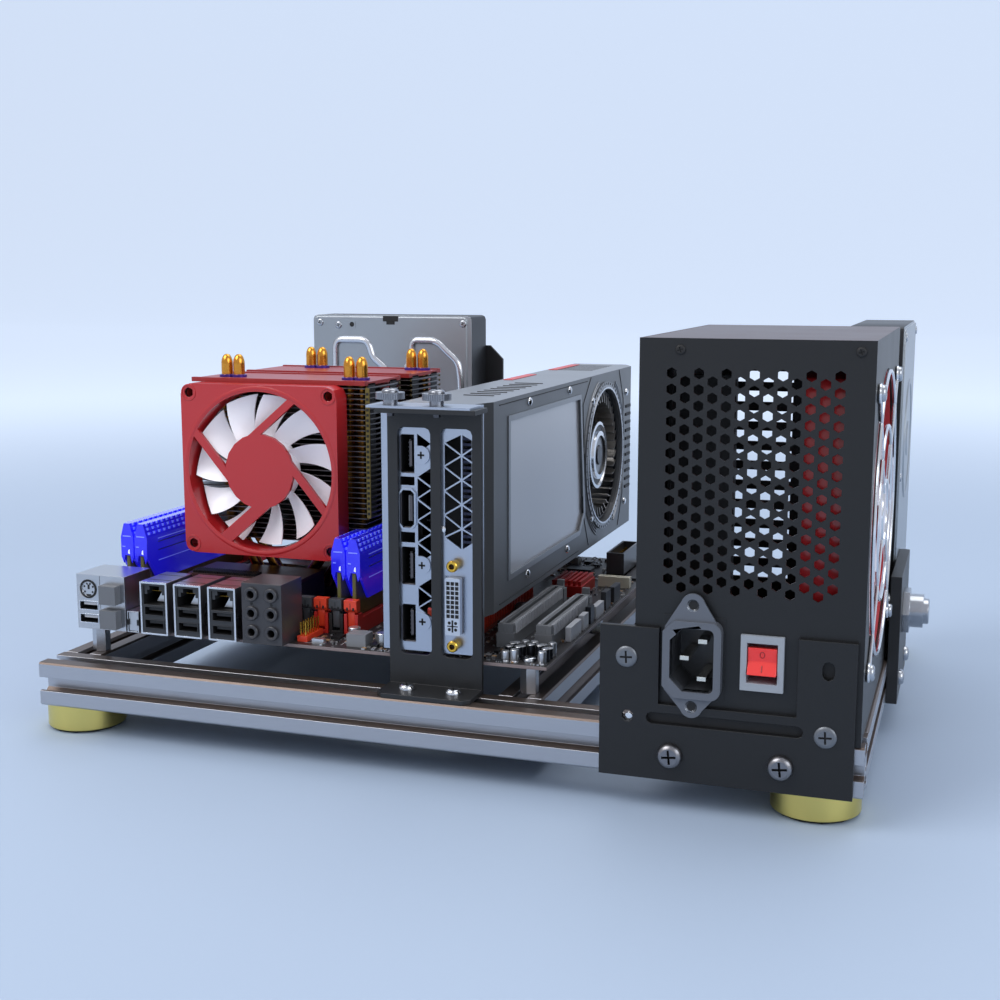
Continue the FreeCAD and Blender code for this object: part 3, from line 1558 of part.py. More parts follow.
nodes = build_nodes()
shift = origin_shift(nodes)
os.makedirs("parts", exist_ok=True)
for name, solids in nodes.items():
    shape = Part.makeCompound(solids) if len(solids) > 1 else solids[0]
    shape = shape.copy()
    shape.translate(shift)
    shape.exportStep("parts/%s.step" % name)
print("nodes", len(nodes), "shift", round(shift.x, 3), round(shift.y, 3), round(shift.z, 3))
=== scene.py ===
import json
import math

import bmesh
import bpy
import numpy as np
from mathutils import Matrix, Vector
from mathutils.geometry import tessellate_polygon

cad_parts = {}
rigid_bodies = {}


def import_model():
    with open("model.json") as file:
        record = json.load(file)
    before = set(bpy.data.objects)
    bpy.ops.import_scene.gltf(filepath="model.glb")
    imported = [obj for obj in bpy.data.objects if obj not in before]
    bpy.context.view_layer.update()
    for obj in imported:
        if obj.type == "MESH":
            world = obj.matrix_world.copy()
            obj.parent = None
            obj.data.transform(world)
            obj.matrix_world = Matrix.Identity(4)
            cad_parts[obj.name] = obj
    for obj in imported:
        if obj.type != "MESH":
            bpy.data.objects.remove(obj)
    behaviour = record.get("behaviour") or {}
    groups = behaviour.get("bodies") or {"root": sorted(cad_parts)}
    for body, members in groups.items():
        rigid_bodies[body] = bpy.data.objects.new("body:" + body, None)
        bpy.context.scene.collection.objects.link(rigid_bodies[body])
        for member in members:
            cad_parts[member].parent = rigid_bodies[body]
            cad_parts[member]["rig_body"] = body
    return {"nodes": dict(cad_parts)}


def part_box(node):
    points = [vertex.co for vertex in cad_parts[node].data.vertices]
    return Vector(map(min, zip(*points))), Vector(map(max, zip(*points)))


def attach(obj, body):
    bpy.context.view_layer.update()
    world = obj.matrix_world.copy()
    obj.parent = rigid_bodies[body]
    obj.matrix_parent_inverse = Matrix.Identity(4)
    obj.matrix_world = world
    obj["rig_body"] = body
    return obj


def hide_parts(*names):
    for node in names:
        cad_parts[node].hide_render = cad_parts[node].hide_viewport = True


print("stage: load the frame")
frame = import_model()
nodes = frame["nodes"]
rootBody = "frame"

# The drawing's own axes, in millimetres: X from the left end of the front rail, Y from its front
# face, Z from the rails' tops. The power supply's lower front corner ties them to the row frame.
powerCorner = Vector((275.5, 0.0, 0.0))
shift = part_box("psu_case")[0] * 1000.0 - powerCorner


# A point of the drawing in the row frame, in metres
def spot(x, y, z):
    return (Vector((x, y, z)) + shift) / 1000.0


# Shader effects that several materials share

def groupSocket(group, name, side, kind, default=None):
    socket = group.interface.new_socket(name=name, in_out=side, socket_type=kind)
    if default is not None:
        socket.default_value = default
    return socket


# Fine relief and a slow change of gloss, in the object's own coordinates
def makeGrainGroup():
    group = bpy.data.node_groups.new("surfaceGrain", "ShaderNodeTree")
    groupSocket(group, "Scale", "INPUT", "NodeSocketFloat", 400.0)
    groupSocket(group, "Depth", "INPUT", "NodeSocketFloat", 0.1)
    groupSocket(group, "Stretch", "INPUT", "NodeSocketVector", (1.0, 1.0, 1.0))
    groupSocket(group, "Gloss", "INPUT", "NodeSocketFloat", 0.4)
    groupSocket(group, "Vary", "INPUT", "NodeSocketFloat", 0.05)
    groupSocket(group, "Roughness", "OUTPUT", "NodeSocketFloat")
    groupSocket(group, "Normal", "OUTPUT", "NodeSocketVector")
    add = group.nodes.new
    link = group.links.new
    inputs = add("NodeGroupInput")
    outputs = add("NodeGroupOutput")
    coordinates = add("ShaderNodeTexCoord")
    stretched = add("ShaderNodeVectorMath")
    stretched.operation = "MULTIPLY"
    link(coordinates.outputs["Object"], stretched.inputs[0])
    link(inputs.outputs["Stretch"], stretched.inputs[1])
    fine = add("ShaderNodeTexNoise")
    fine.inputs["Detail"].default_value = 3.0
    link(stretched.outputs[0], fine.inputs["Vector"])
    link(inputs.outputs["Scale"], fine.inputs["Scale"])
    slow = add("ShaderNodeTexNoise")
    slow.inputs["Scale"].default_value = 35.0
    slow.inputs["Detail"].default_value = 4.0
    link(stretched.outputs[0], slow.inputs["Vector"])
    bump = add("ShaderNodeBump")
    bump.inputs["Distance"].default_value = 0.0002
    link(fine.outputs["Fac"], bump.inputs["Height"])
    link(inputs.outputs["Depth"], bump.inputs["Strength"])
    centred = add("ShaderNodeMath")
    centred.operation = "SUBTRACT"
    centred.inputs[1].default_value = 0.5
    link(slow.outputs["Fac"], centred.inputs[0])
    varied = add("ShaderNodeMath")
    varied.operation = "MULTIPLY_ADD"
    link(centred.outputs[0], varied.inputs[0])
    link(inputs.outputs["Vary"], varied.inputs[1])
    link(inputs.outputs["Gloss"], varied.inputs[2])
    link(varied.outputs[0], outputs.inputs["Roughness"])
    link(bump.outputs["Normal"], outputs.inputs["Normal"])
    return group


grainGroup = makeGrainGroup()


# A colour given in screen values from 0 to 255, as linear light
def srgb(red, green, blue):
    linear = []
    for value in (red, green, blue):
        share = value / 255.0
        linear.append(share / 12.92 if share <= 0.04045 else ((share + 0.055) / 1.055) ** 2.4)
    return (*linear, 1.0)


# A material from one dictionary: colour, metal, gloss and, if given, grain, coat or glow
def surface(name, settings):
    material = bpy.data.materials.new(name)
    material.use_nodes = True
    shader = material.node_tree.nodes["Principled BSDF"]
    shader.inputs["Base Color"].default_value = srgb(*settings["colour"])
    shader.inputs["Metallic"].default_value = settings.get("metal", 0.0)
    shader.inputs["Roughness"].default_value = settings.get("gloss", 0.4)
    shader.inputs["Coat Weight"].default_value = settings.get("coat", 0.0)
    shader.inputs["Coat Roughness"].default_value = 0.12
    shader.inputs["Anisotropic"].default_value = settings.get("brushed", 0.0)
    shader.inputs["Transmission Weight"].default_value = settings.get("clear", 0.0)
    if "glow" in settings:
        shader.inputs["Emission Color"].default_value = srgb(*settings["colour"])
        shader.inputs["Emission Strength"].default_value = settings["glow"]
    if "grain" in settings:
        scale, depth, vary = settings["grain"]
        grain = material.node_tree.nodes.new("ShaderNodeGroup")
        grain.node_tree = grainGroup
        grain.inputs["Scale"].default_value = scale
        grain.inputs["Depth"].default_value = depth
        grain.inputs["Vary"].default_value = vary
        grain.inputs["Stretch"].default_value = settings.get("stretch", (1.0, 1.0, 1.0))
        grain.inputs["Gloss"].default_value = settings.get("gloss", 0.4)
        material.node_tree.links.new(grain.outputs["Roughness"], shader.inputs["Roughness"])
        material.node_tree.links.new(grain.outputs["Normal"], shader.inputs["Normal"])
    return material


print("stage: materials")
finishes = {
    "railX": {"colour": (180, 182, 188), "metal": 1.0, "gloss": 0.34, "grain": (900, 0.12, 0.1),
              "stretch": (0.03, 1.0, 1.0)},
    "railY": {"colour": (180, 182, 188), "metal": 1.0, "gloss": 0.34, "grain": (900, 0.12, 0.1),
              "stretch": (1.0, 0.03, 1.0)},
    # Rail top faces: painted reflection, darker and browner than the sides
    "railTopReflection": {"colour": (110, 98, 92), "metal": 0.9, "gloss": 0.42, "grain": (700, 0.1, 0.1),
                "stretch": (0.05, 1.0, 1.0)},
    "zinc": {"colour": (168, 168, 170), "metal": 1.0, "gloss": 0.4, "grain": (500, 0.1, 0.1)},
    "brass": {"colour": (224, 206, 122), "metal": 1.0, "gloss": 0.3, "grain": (600, 0.08, 0.08)},
    "rubber": {"colour": (30, 30, 31), "gloss": 0.75, "grain": (900, 0.2, 0.05)},
    "boardTop": {"colour": (38, 35, 36), "gloss": 0.42, "grain": (500, 0.12, 0.08)},
    "nickel": {"colour": (190, 192, 196), "metal": 1.0, "gloss": 0.28, "grain": (400, 0.06, 0.08)},
    "darkNickel": {"colour": (96, 92, 94), "metal": 1.0, "gloss": 0.3, "grain": (400, 0.06, 0.08)},
    "blackPlastic": {"colour": (28, 28, 30), "gloss": 0.42, "grain": (900, 0.12, 0.06)},
    "greyPlastic": {"colour": (98, 101, 106), "gloss": 0.45, "grain": (900, 0.12, 0.06)},
    "palePlastic": {"colour": (196, 198, 204), "gloss": 0.4, "grain": (900, 0.1, 0.06)},
    "creamPlastic": {"colour": (206, 200, 180), "gloss": 0.45, "grain": (900, 0.1, 0.06)},
    "redPlastic": {"colour": (186, 40, 34), "gloss": 0.35, "grain": (900, 0.1, 0.06)},
    "whiteTongue": {"colour": (220, 220, 222), "gloss": 0.4},
    "moduleBoard": {"colour": (96, 92, 40), "gloss": 0.4},
    # Memory cover blue, with a painted glow
    "spreaderBlue": {"colour": (34, 30, 232), "metal": 0.3, "gloss": 0.16, "coat": 1.0, "glow": 0.3},
    "sinkTop": {"colour": (72, 50, 50), "metal": 0.6, "gloss": 0.36, "grain": (700, 0.1, 0.06)},
    # Painted highlight of the blue covers, glowing
    "spreaderBright": {"colour": (110, 124, 255), "metal": 0.2, "gloss": 0.2, "coat": 1.0, "glow": 0.35},
    "footScrew": {"colour": (132, 132, 136), "metal": 1.0, "gloss": 0.3},
    "plateScrew": {"colour": (112, 116, 122), "metal": 0.7, "gloss": 0.4},
    # Painted glint on the covers, glowing
    "spreaderShine": {"colour": (214, 222, 255), "gloss": 0.15, "coat": 1.0, "glow": 0.5},
    "moduleOlive": {"colour": (96, 92, 62), "gloss": 0.4},
    "thumbSteel": {"colour": (142, 145, 152), "metal": 1.0, "gloss": 0.28},
    "driveRidge": {"colour": (206, 208, 214), "metal": 0.9, "gloss": 0.2},
    "spreaderFin": {"colour": (58, 62, 84), "metal": 0.6, "gloss": 0.4},
    # Painted shade of the blue covers
    "spreaderDark": {"colour": (20, 22, 120), "metal": 0.5, "gloss": 0.3},
    "darkSink": {"colour": (44, 42, 44), "metal": 0.6, "gloss": 0.4, "grain": (500, 0.1, 0.06)},
    "redSink": {"colour": (176, 34, 30), "metal": 0.4, "gloss": 0.35, "grain": (500, 0.1, 0.06)},
    "machinedMetal": {"colour": (178, 180, 184), "metal": 1.0, "gloss": 0.3},
    "pipeGold": {"colour": (214, 150, 62), "metal": 1.0, "gloss": 0.22},
    "finMetal": {"colour": (92, 90, 92), "metal": 1.0, "gloss": 0.34},
    "finTop": {"colour": (150, 44, 44), "metal": 0.3, "gloss": 0.35},
    "fanRed": {"colour": (174, 32, 36), "gloss": 0.3, "coat": 0.3, "grain": (900, 0.08, 0.06)},
    # Painted light: a slight glow keeps the blades flat white
    "bladeWhite": {"colour": (236, 234, 240), "gloss": 0.3, "coat": 0.3, "glow": 0.1},
    "sheetBlack": {"colour": (38, 39, 41), "metal": 0.25, "gloss": 0.42, "grain": (1400, 0.14, 0.08)},
    "bracketSilver": {"colour": (176, 184, 198), "metal": 1.0, "gloss": 0.3, "grain": (400, 0.05, 0.06)},
    "cardBoard": {"colour": (34, 34, 36), "gloss": 0.45},
    "shroudGrey": {"colour": (96, 98, 101), "metal": 0.5, "gloss": 0.38, "grain": (900, 0.12, 0.08)},
    "psuBlack": {"colour": (30, 31, 33), "metal": 0.3, "gloss": 0.4, "grain": (1400, 0.14, 0.08)},
    "circuitTan": {"colour": (24, 24, 25), "gloss": 0.5},
    "chromeWire": {"colour": (220, 222, 226), "metal": 1.0, "gloss": 0.15},
    "inletBlack": {"colour": (58, 60, 64), "gloss": 0.36, "grain": (900, 0.1, 0.05)},
    "inletGrey": {"colour": (144, 150, 158), "gloss": 0.4},
    "contactMetal": {"colour": (226, 222, 210), "metal": 1.0, "gloss": 0.22},
    # Painted light: a slight glow on the rocker
    "rockerRed": {"colour": (214, 44, 40), "gloss": 0.28, "coat": 0.4, "glow": 0.12},
    "driveMetal": {"colour": (158, 164, 170), "metal": 0.9, "gloss": 0.36, "grain": (400, 0.08, 0.08)},
    "steel": {"colour": (176, 180, 186), "metal": 1.0, "gloss": 0.26},
    "chrome": {"colour": (214, 216, 220), "metal": 1.0, "gloss": 0.16},
    # Near black: painted shade inside holes, slots, bores and grooves, and also the dark seams and panel
    # lines
    "recess": {"colour": (14, 14, 16), "gloss": 0.6},
    "windowGrey": {"colour": (174, 174, 178), "metal": 0.35, "gloss": 0.28, "coat": 0.4},
    "shroudEdge": {"colour": (132, 134, 138), "metal": 0.7, "gloss": 0.32, "grain": (900, 0.1, 0.08)},
    "gold": {"colour": (222, 178, 74), "metal": 1.0, "gloss": 0.24},
    "violet": {"colour": (74, 52, 150), "metal": 0.6, "gloss": 0.25},
    "redBrown": {"colour": (168, 52, 26), "gloss": 0.45},
    "paleSocket": {"colour": (118, 120, 124), "gloss": 0.42, "grain": (900, 0.1, 0.06)},
    "chipBlack": {"colour": (22, 22, 24), "gloss": 0.38},
    "resistorGrey": {"colour": (120, 118, 116), "gloss": 0.45},
    "resistorTan": {"colour": (150, 118, 84), "gloss": 0.45},
    "canSilver": {"colour": (200, 202, 206), "metal": 0.9, "gloss": 0.3},
    "olive": {"colour": (120, 104, 58), "metal": 0.8, "gloss": 0.34},
    "latchRed": {"colour": (222, 66, 38), "gloss": 0.34, "grain": (900, 0.08, 0.05)},
    "latchGrey": {"colour": (66, 68, 72), "gloss": 0.36, "grain": (900, 0.08, 0.05)},
    "portDark": {"colour": (40, 42, 46), "gloss": 0.38},
    "castBlack": {"colour": (40, 42, 46), "metal": 0.5, "gloss": 0.4, "grain": (700, 0.1, 0.06)},
    "silk": {"colour": (186, 186, 190), "gloss": 0.5},
    "boardEdge": {"colour": (124, 112, 112), "gloss": 0.5},
    "bladeGrey": {"colour": (176, 172, 168), "metal": 0.9, "gloss": 0.3},
    "socketSilver": {"colour": (196, 202, 212), "metal": 0.8, "gloss": 0.3},
    "tipBright": {"colour": (226, 228, 232), "metal": 1.0, "gloss": 0.2},
    "mark": {"colour": (140, 26, 30), "gloss": 0.4},
    "audioGrey": {"colour": (52, 52, 56), "gloss": 0.32},
    "darkMetal": {"colour": (60, 62, 68), "metal": 0.9, "gloss": 0.34},
    # Supply top faces: painted reflection, brown over the black case
    "psuTopReflection": {"colour": (84, 60, 56), "metal": 0.9, "gloss": 0.34, "grain": (1400, 0.1, 0.08)},
    "flangeGrey": {"colour": (96, 100, 108), "metal": 0.3, "gloss": 0.36},
    "darkSteel": {"colour": (84, 86, 92), "metal": 1.0, "gloss": 0.3},
}
materials = {name: surface(name, settings) for name, settings in finishes.items()}


# Gives a whole object one finish
def paint(thing, finish):
    thing.data.materials.clear()
    thing.data.materials.append(materials[finish])
    indices = np.zeros(len(thing.data.polygons), np.int32)
    thing.data.polygons.foreach_set("material_index", indices)


# Middle and normal of every face, on the drawing's axes, in millimetres
def faceCentres(mesh):
    centres = np.empty(len(mesh.polygons) * 3)
    normals = np.empty(len(mesh.polygons) * 3)
    mesh.polygons.foreach_get("center", centres)
    mesh.polygons.foreach_get("normal", normals)
    return centres.reshape(-1, 3) * 1000.0 - np.array(shift), normals.reshape(-1, 3)


# Gives an object a base finish and others where a rule on face middles and normals holds
def paintWhere(thing, base, rules):
    thing.data.materials.clear()
    thing.data.materials.append(materials[base])
    centres, normals = faceCentres(thing.data)
    indices = np.zeros(len(thing.data.polygons), np.int32)
    for finish, rule in rules:
        thing.data.materials.append(materials[finish])
        indices[rule(centres, normals)] = len(thing.data.materials) - 1
    thing.data.polygons.foreach_set("material_index", indices)


# A merged copy of a CAD node with softened edges, shown in the node's place
def finished(node, bevel, angle=30.0):
    source = nodes[node]
    mesh = bpy.data.meshes.new(node + "_finished")
    merged = bmesh.new()
    merged.from_mesh(source.data)
    bmesh.ops.remove_doubles(merged, verts=merged.verts, dist=1e-6)
    bmesh.ops.dissolve_limit(merged, angle_limit=math.radians(0.5), verts=merged.verts, edges=merged.edges)
    merged.to_mesh(mesh)
    merged.free()
    thing = bpy.data.objects.new(node + "_finished", mesh)
    bpy.context.scene.collection.objects.link(thing)
    if bevel > 0:
        softEdges(thing, bevel, 2, angle)
    mesh.shade_smooth()
    mesh.set_sharp_from_angle(angle=math.radians(angle))
    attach(thing, source["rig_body"])
    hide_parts(node)
    return thing


# Two unit vectors square to a direction and to each other, and the direction itself
def axesAlong(direction):
    along = np.array(direction, float) / np.linalg.norm(direction)
    other = np.array((0.0, 0.0, 1.0) if abs(along[2]) < 0.9 else (1.0, 0.0, 0.0))
    first = np.cross(other, along)
    first /= np.linalg.norm(first)
    return first, np.cross(along, first), along


# A live bevel on every edge sharper than the angle; width in millimetres
def softEdges(thing, width, segments, angle):
    modifier = thing.modifiers.new("edges", "BEVEL")
    modifier.width = width / 1000.0
    modifier.segments = segments
    modifier.limit_method = "ANGLE"
    modifier.angle_limit = math.radians(angle)
    modifier.use_clamp_overlap = True
    modifier.harden_normals = True


boxCorners = np.array([(i, j, k) for i in (0, 1) for j in (0, 1) for k in (0, 1)], float)
boxFaces = [(0, 1, 3, 2), (4, 6, 7, 5), (0, 4, 5, 1), (2, 3, 7, 6), (0, 2, 6, 4), (1, 5, 7, 3)]
screwHead = {"sides": 32, "rim": 0.66, "arm": 0.58, "slot": 0.09, "floor": 0.8, "floorRise": 0.35}


# Many small solids, each with its own finish, that end up as one object riding one body
class Pile:
    def __init__(self, name):
        self.name = name
        self.points = []
        self.count = 0
        self.faces = []
        self.finishes = []

    # Points in millimetres; one finish for all the faces, or a list with one for each
    def add(self, points, faces, finish):
        points = np.array(points, float)
        self.faces += [[self.count + corner for corner in face] for face in faces]
        self.finishes += [finish] * len(faces) if isinstance(finish, str) else finish
        self.points.append(points)
        self.count += len(points)

    def box(self, x, y, z, width, depth, height, finish):
        self.add(np.array((x, y, z)) + boxCorners * (width, depth, height), boxFaces, finish)

    # Origin + along * height + (first * cos + second * sin) * radius, with radius and height from the
    # profile and the angle running round. A ring of no radius is one point. Shares gives each band's finish.
    def turned(self, origin, direction, profile, sides, finish, shares=None):
        first, second, along = axesAlong(direction)
        angles = 2.0 * np.pi * np.arange(sides) / sides
        circle = np.outer(np.cos(angles), first) + np.outer(np.sin(angles), second)
        radii, heights = np.array(profile, float).T
        grid = np.array(origin, float) + heights[:, None, None] * along + radii[:, None, None] * circle
        counts = np.where(radii < 1e-6, 1, sides)
        starts = np.concatenate(([0], np.cumsum(counts)))
        side = np.arange(sides)
        after = (side + 1) % sides
        faces = []
        finishes = []
        for band in range(len(radii) - 1):
            low, high = starts[band], starts[band + 1]
            if counts[band] == 1:
                corners = (low + 0 * side, high + after, high + side)
            elif counts[band + 1] == 1:
                corners = (low + side, low + after, high + 0 * side)
            else:
                corners = (low + side, low + after, high + after, high + side)
            faces += np.stack(corners, 1).tolist()
            finishes += [shares[band] if shares else finish] * sides
        self.add(np.concatenate([ring[:count] for ring, count in zip(grid, counts)]), faces, finishes)

    # A flat plate from an outline and holes in the two other axes, thick along the axis
    def plate(self, outer, holes, axis, level, thickness, finish):
        loops = [outer] + holes
        triangles = np.array(tessellate_polygon([[Vector((u, v, 0.0)) for u, v in loop] for loop in loops]))
        flat = np.concatenate(loops)
        sheets = [np.insert(flat, "xyz".index(axis), side, axis=1) for side in (level, level + thickness)]
        count = len(flat)
        faces = triangles.tolist() + (count + triangles[:, ::-1]).tolist()
        start = 0
        for loop in loops:
            near = start + np.arange(len(loop))
            after = start + (np.arange(len(loop)) + 1) % len(loop)
            faces += np.stack((near, after, count + after, count + near), 1).tolist()
            start += len(loop)
        self.add(np.concatenate(sheets), faces, finish)

    # A ring of the radius carried along a line of points, turned with the line so that it doesn't twist
    def tube(self, points, radius, sides, finish):
        line = np.array(points, float)
        places = np.arange(len(line))
        headings = line[np.minimum(places + 1, len(line) - 1)] - line[np.maximum(places - 1, 0)]
        headings /= np.linalg.norm(headings, axis=1)[:, None]
        side = axesAlong(line[1] - line[0])[0]
        firsts = []
        for heading in headings:
            side = side - heading * side.dot(heading)
            side = side / np.linalg.norm(side)
            firsts.append(side)
        firsts = np.array(firsts)
        seconds = np.cross(headings, firsts)
        angles = 2.0 * np.pi * np.arange(sides)[None, :, None] / sides
        ring = np.cos(angles) * firsts[:, None] + np.sin(angles) * seconds[:, None]
        step = np.arange(sides)
        after = (step + 1) % sides
        start = sides * places[:-1, None]
        walls = np.stack((start + step, start + after, start + sides + after, start + sides + step), 2)
        last = (len(line) - 1) * sides
        ends = [list(range(sides))[::-1], list(range(last, last + sides))]
        self.add((line[:, None] + ring * radius).reshape(-1, 3), walls.reshape(-1, 4).tolist() + ends, finish)

    # A round head with a cross cut into its flat top, the cross's walls and floor painted black as shade
    def screw(self, place, direction, radius, height, finish, turn=0.4):
        first, second, along = axesAlong(direction)
        sides, rim = screwHead["sides"], screwHead["rim"] * radius
        arm, half = screwHead["arm"] * radius, screwHead["slot"] * radius
        bulge = [(radius, 0.0), (radius, 0.35 * height), (0.94 * radius, 0.66 * height),
                 (0.82 * radius, 0.88 * height), (rim, height)]
        self.turned(place, direction, bulge, sides, finish)
        cross = np.array([(half, half), (half, arm), (-half, arm), (-half, half),
                          (-arm, half), (-arm, -half), (-half, -half), (-half, -arm),
                          (half, -arm), (half, -half), (arm, -half), (arm, half)])
        spin = np.array(((math.cos(turn), math.sin(turn)), (-math.sin(turn), math.cos(turn))))
        circle, spun = circlePoints(0.0, 0.0, rim, sides), cross @ spin

        def raised(flat, rise):
            return np.array(place, float) + flat[:, :1] * first + flat[:, 1:] * second + along * rise

        top = raised(np.concatenate((circle, spun)), height)
        triangles = tessellate_polygon([[Vector((u, v, 0.0)) for u, v in loop] for loop in (circle, spun)])
        self.add(top, triangles, finish)
        floor = raised(spun * screwHead["floor"], height * screwHead["floorRise"])
        count = len(cross)
        walls = [(i, (i + 1) % count, count + (i + 1) % count, count + i) for i in range(count)]
        self.add(np.concatenate((top[sides:], floor)), walls + [range(count, 2 * count)], "recess")

    # Builds the object, softens its edges and lets it ride its body
    def finish(self, body=rootBody, bevel=0.0, angle=35.0, replaced=()):
        mesh = bpy.data.meshes.new(self.name)
        places = (np.concatenate(self.points) + np.array(shift)) / 1000.0
        mesh.from_pydata(places.tolist(), [], self.faces)
        names = sorted(set(self.finishes))
        for name in names:
            mesh.materials.append(materials[name])
        order = {name: index for index, name in enumerate(names)}
        indices = np.array([order[name] for name in self.finishes], np.int32)
        mesh.polygons.foreach_set("material_index", indices)
        solid = bmesh.new()
        solid.from_mesh(mesh)
        bmesh.ops.recalc_face_normals(solid, faces=solid.faces)
        solid.to_mesh(mesh)
        solid.free()
        mesh.shade_smooth()
        mesh.set_sharp_from_angle(angle=math.radians(angle))
        thing = bpy.data.objects.new(self.name, mesh)
        bpy.context.scene.collection.objects.link(thing)
        if bevel > 0:
            softEdges(thing, bevel, 2, angle)
        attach(thing, body)
        if replaced:
            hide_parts(*replaced)
        return thing


def circlePoints(u, v, radius, sides=24):
    angles = 2.0 * np.pi * np.arange(sides) / sides
    return np.stack((u + radius * np.cos(angles), v + radius * np.sin(angles)), 1)


def softRectangle(u0, v0, u1, v1, radius, steps=5):
    points = []
    for cu, cv, start in ((u1 - radius, v0 + radius, -90), (u1 - radius, v1 - radius, 0),
                          (u0 + radius, v1 - radius, 90), (u0 + radius, v0 + radius, 180)):
        for step in range(steps + 1):
            angle = math.radians(start + 90.0 * step / steps)
            points.append((cu + radius * math.cos(angle), cv + radius * math.sin(angle)))
    return points


# A line through corners with each corner rounded by a smooth bend
def roundedRoute(corners, radius, steps=8):
    line = [Vector(corner) for corner in corners]
    route = [line[0]]
    for before, corner, after in zip(line, line[1:], line[2:]):
        reach = min(radius, (before - corner).length * 0.45, (after - corner).length * 0.45)
        start = corner + (before - corner).normalized() * reach
        end = corner + (after - corner).normalized() * reach
        for step in range(steps + 1):
            share = step / steps
            route.append(start * (1 - share) ** 2 + corner * 2 * share * (1 - share) + end * share ** 2)
    route.append(line[-1])
    return route


print("stage: finished copies of the CAD nodes")
plainNodes = {
    "front_rail": ("railX", 0.25), "rear_rail": ("railX", 0.25), "left_rail": ("railY", 0.25),
    "middle_rail": ("railY", 0.25), "right_rail": ("railY", 0.25), "corner_connectors": ("zinc", 0.2),
    "brass_feet": ("brass", 0.5), "foot_pads": ("rubber", 0.3), "motherboard": ("boardTop", 0.2),
    "board_standoffs": ("nickel", 0.2), "port_shells": ("darkNickel", 0.12),
    "port_inserts": ("blackPlastic", 0.15), "memory_sockets": ("blackPlastic", 0.12),
    "memory_boards": ("moduleBoard", 0.1), "processor_socket": ("machinedMetal", 0.3),
    "cooler_base": ("machinedMetal", 0.3), "fan_frames": ("fanRed", 0.3),
    "card_holder": ("sheetBlack", 0.3), "card_ports": ("darkNickel", 0.1), "card_board": ("cardBoard", 0.15),
    "card_heatsink": ("finMetal", 0.0), "card_shroud": ("shroudGrey", 0.4), "psu_case": ("psuBlack", 0.12),
    "psu_cover": ("psuBlack", 0.3), "psu_electronics": ("circuitTan", 0.2), "psu_fan_frame": ("fanRed", 0.3),
    "psu_fan_rotor": ("bladeWhite", 0.2), "psu_switch": ("inletGrey", 0.25), "psu_rocker": ("rockerRed", 0.3),
    "psu_plate": ("psuBlack", 0.3), "hard_drives": ("driveMetal", 0.4), "drive_brackets": ("sheetBlack", 0.3),
    "button_bracket": ("sheetBlack", 0.3), "button_body": ("steel", 0.3), "button_cap": ("steel", 0.6),
}
for number in range(1, 9):
    plainNodes["memory_latch_%d" % number] = ("latchRed" if number % 2 == 0 else "latchGrey", 0.15)
shown = {}
for node, (finish, bevel) in plainNodes.items():
    shown[node] = finished(node, bevel)
    paint(shown[node], finish)

print("stage: finishes by face")
# Top faces of the rails take the painted reflection finish
topReflectionRule = ("railTopReflection", lambda centres, normals: normals[:, 2] > 0.5)
for rail in ("front_rail", "rear_rail"):
    paintWhere(shown[rail], "railX", [topReflectionRule])
for rail in ("left_rail", "middle_rail", "right_rail"):
    paintWhere(shown[rail], "railY", [topReflectionRule])
# Top faces of the supply's case and cover take a painted reflection
for part in ("psu_case", "psu_cover"):
    paintWhere(shown[part], "psuBlack", [("psuTopReflection", lambda centres, normals: normals[:, 2] > 0.5)])

# Port housings: bright outside, painted shade (black) inside their openings
portFace, portDepth, boardTop = 15.0, 21.5, 13.5
housings = [(11.5, 12.4, 25.2), (23.9, 12.9, 25.2), (37.5, 6.0, 9.8), (45.1, 13.6, 24.0), (62.3, 13.6, 24.0),
            (79.5, 13.6, 24.0)]


def insideHousing(centres, normals):
    inside = np.zeros(len(centres), bool)
    for left, width, height in housings:
        inside |= ((centres[:, 0] > left + 0.3) & (centres[:, 0] < left + width - 0.3)
                   & (centres[:, 2] > boardTop + 0.3) & (centres[:, 2] < boardTop + height - 0.3)
                   & (centres[:, 1] > portFace + 0.3) & (centres[:, 1] < portFace + portDepth - 0.3))
    return inside


paintWhere(shown["port_shells"], "nickel", [
    ("recess", insideHousing),
    ("portDark", lambda centres, normals: (normals[:, 1] < -0.9) & (centres[:, 1] < portFace + 0.1)
     & (centres[:, 0] > 45.0))])
paintWhere(shown["port_inserts"], "audioGrey", [
    ("whiteTongue", lambda centres, normals: (centres[:, 0] < 95.0) & (centres[:, 1] > portFace + 1.0)),
    ("greyPlastic", lambda centres, normals: centres[:, 1] < portFace - 0.1),
    # Inside the audio jacks: painted shade
    ("recess", lambda centres, normals: (centres[:, 0] > 97.0) & (centres[:, 0] < 114.6)
     & (centres[:, 1] > portFace + 0.4) & (centres[:, 2] > 14.5) & (centres[:, 2] < 40.0)),
    ("blackPlastic", lambda centres, normals: (centres[:, 0] > 45.0) & (centres[:, 0] < 95.0)
     & (centres[:, 1] > portFace + 0.2))])
redSockets = (120.9, 135.7, 24.2, 39.0)


def inRedSocket(centres, normals):
    chosen = np.zeros(len(centres), bool)
    for middle in redSockets:
        chosen |= np.abs(centres[:, 0] - middle) < 3.6
    return chosen


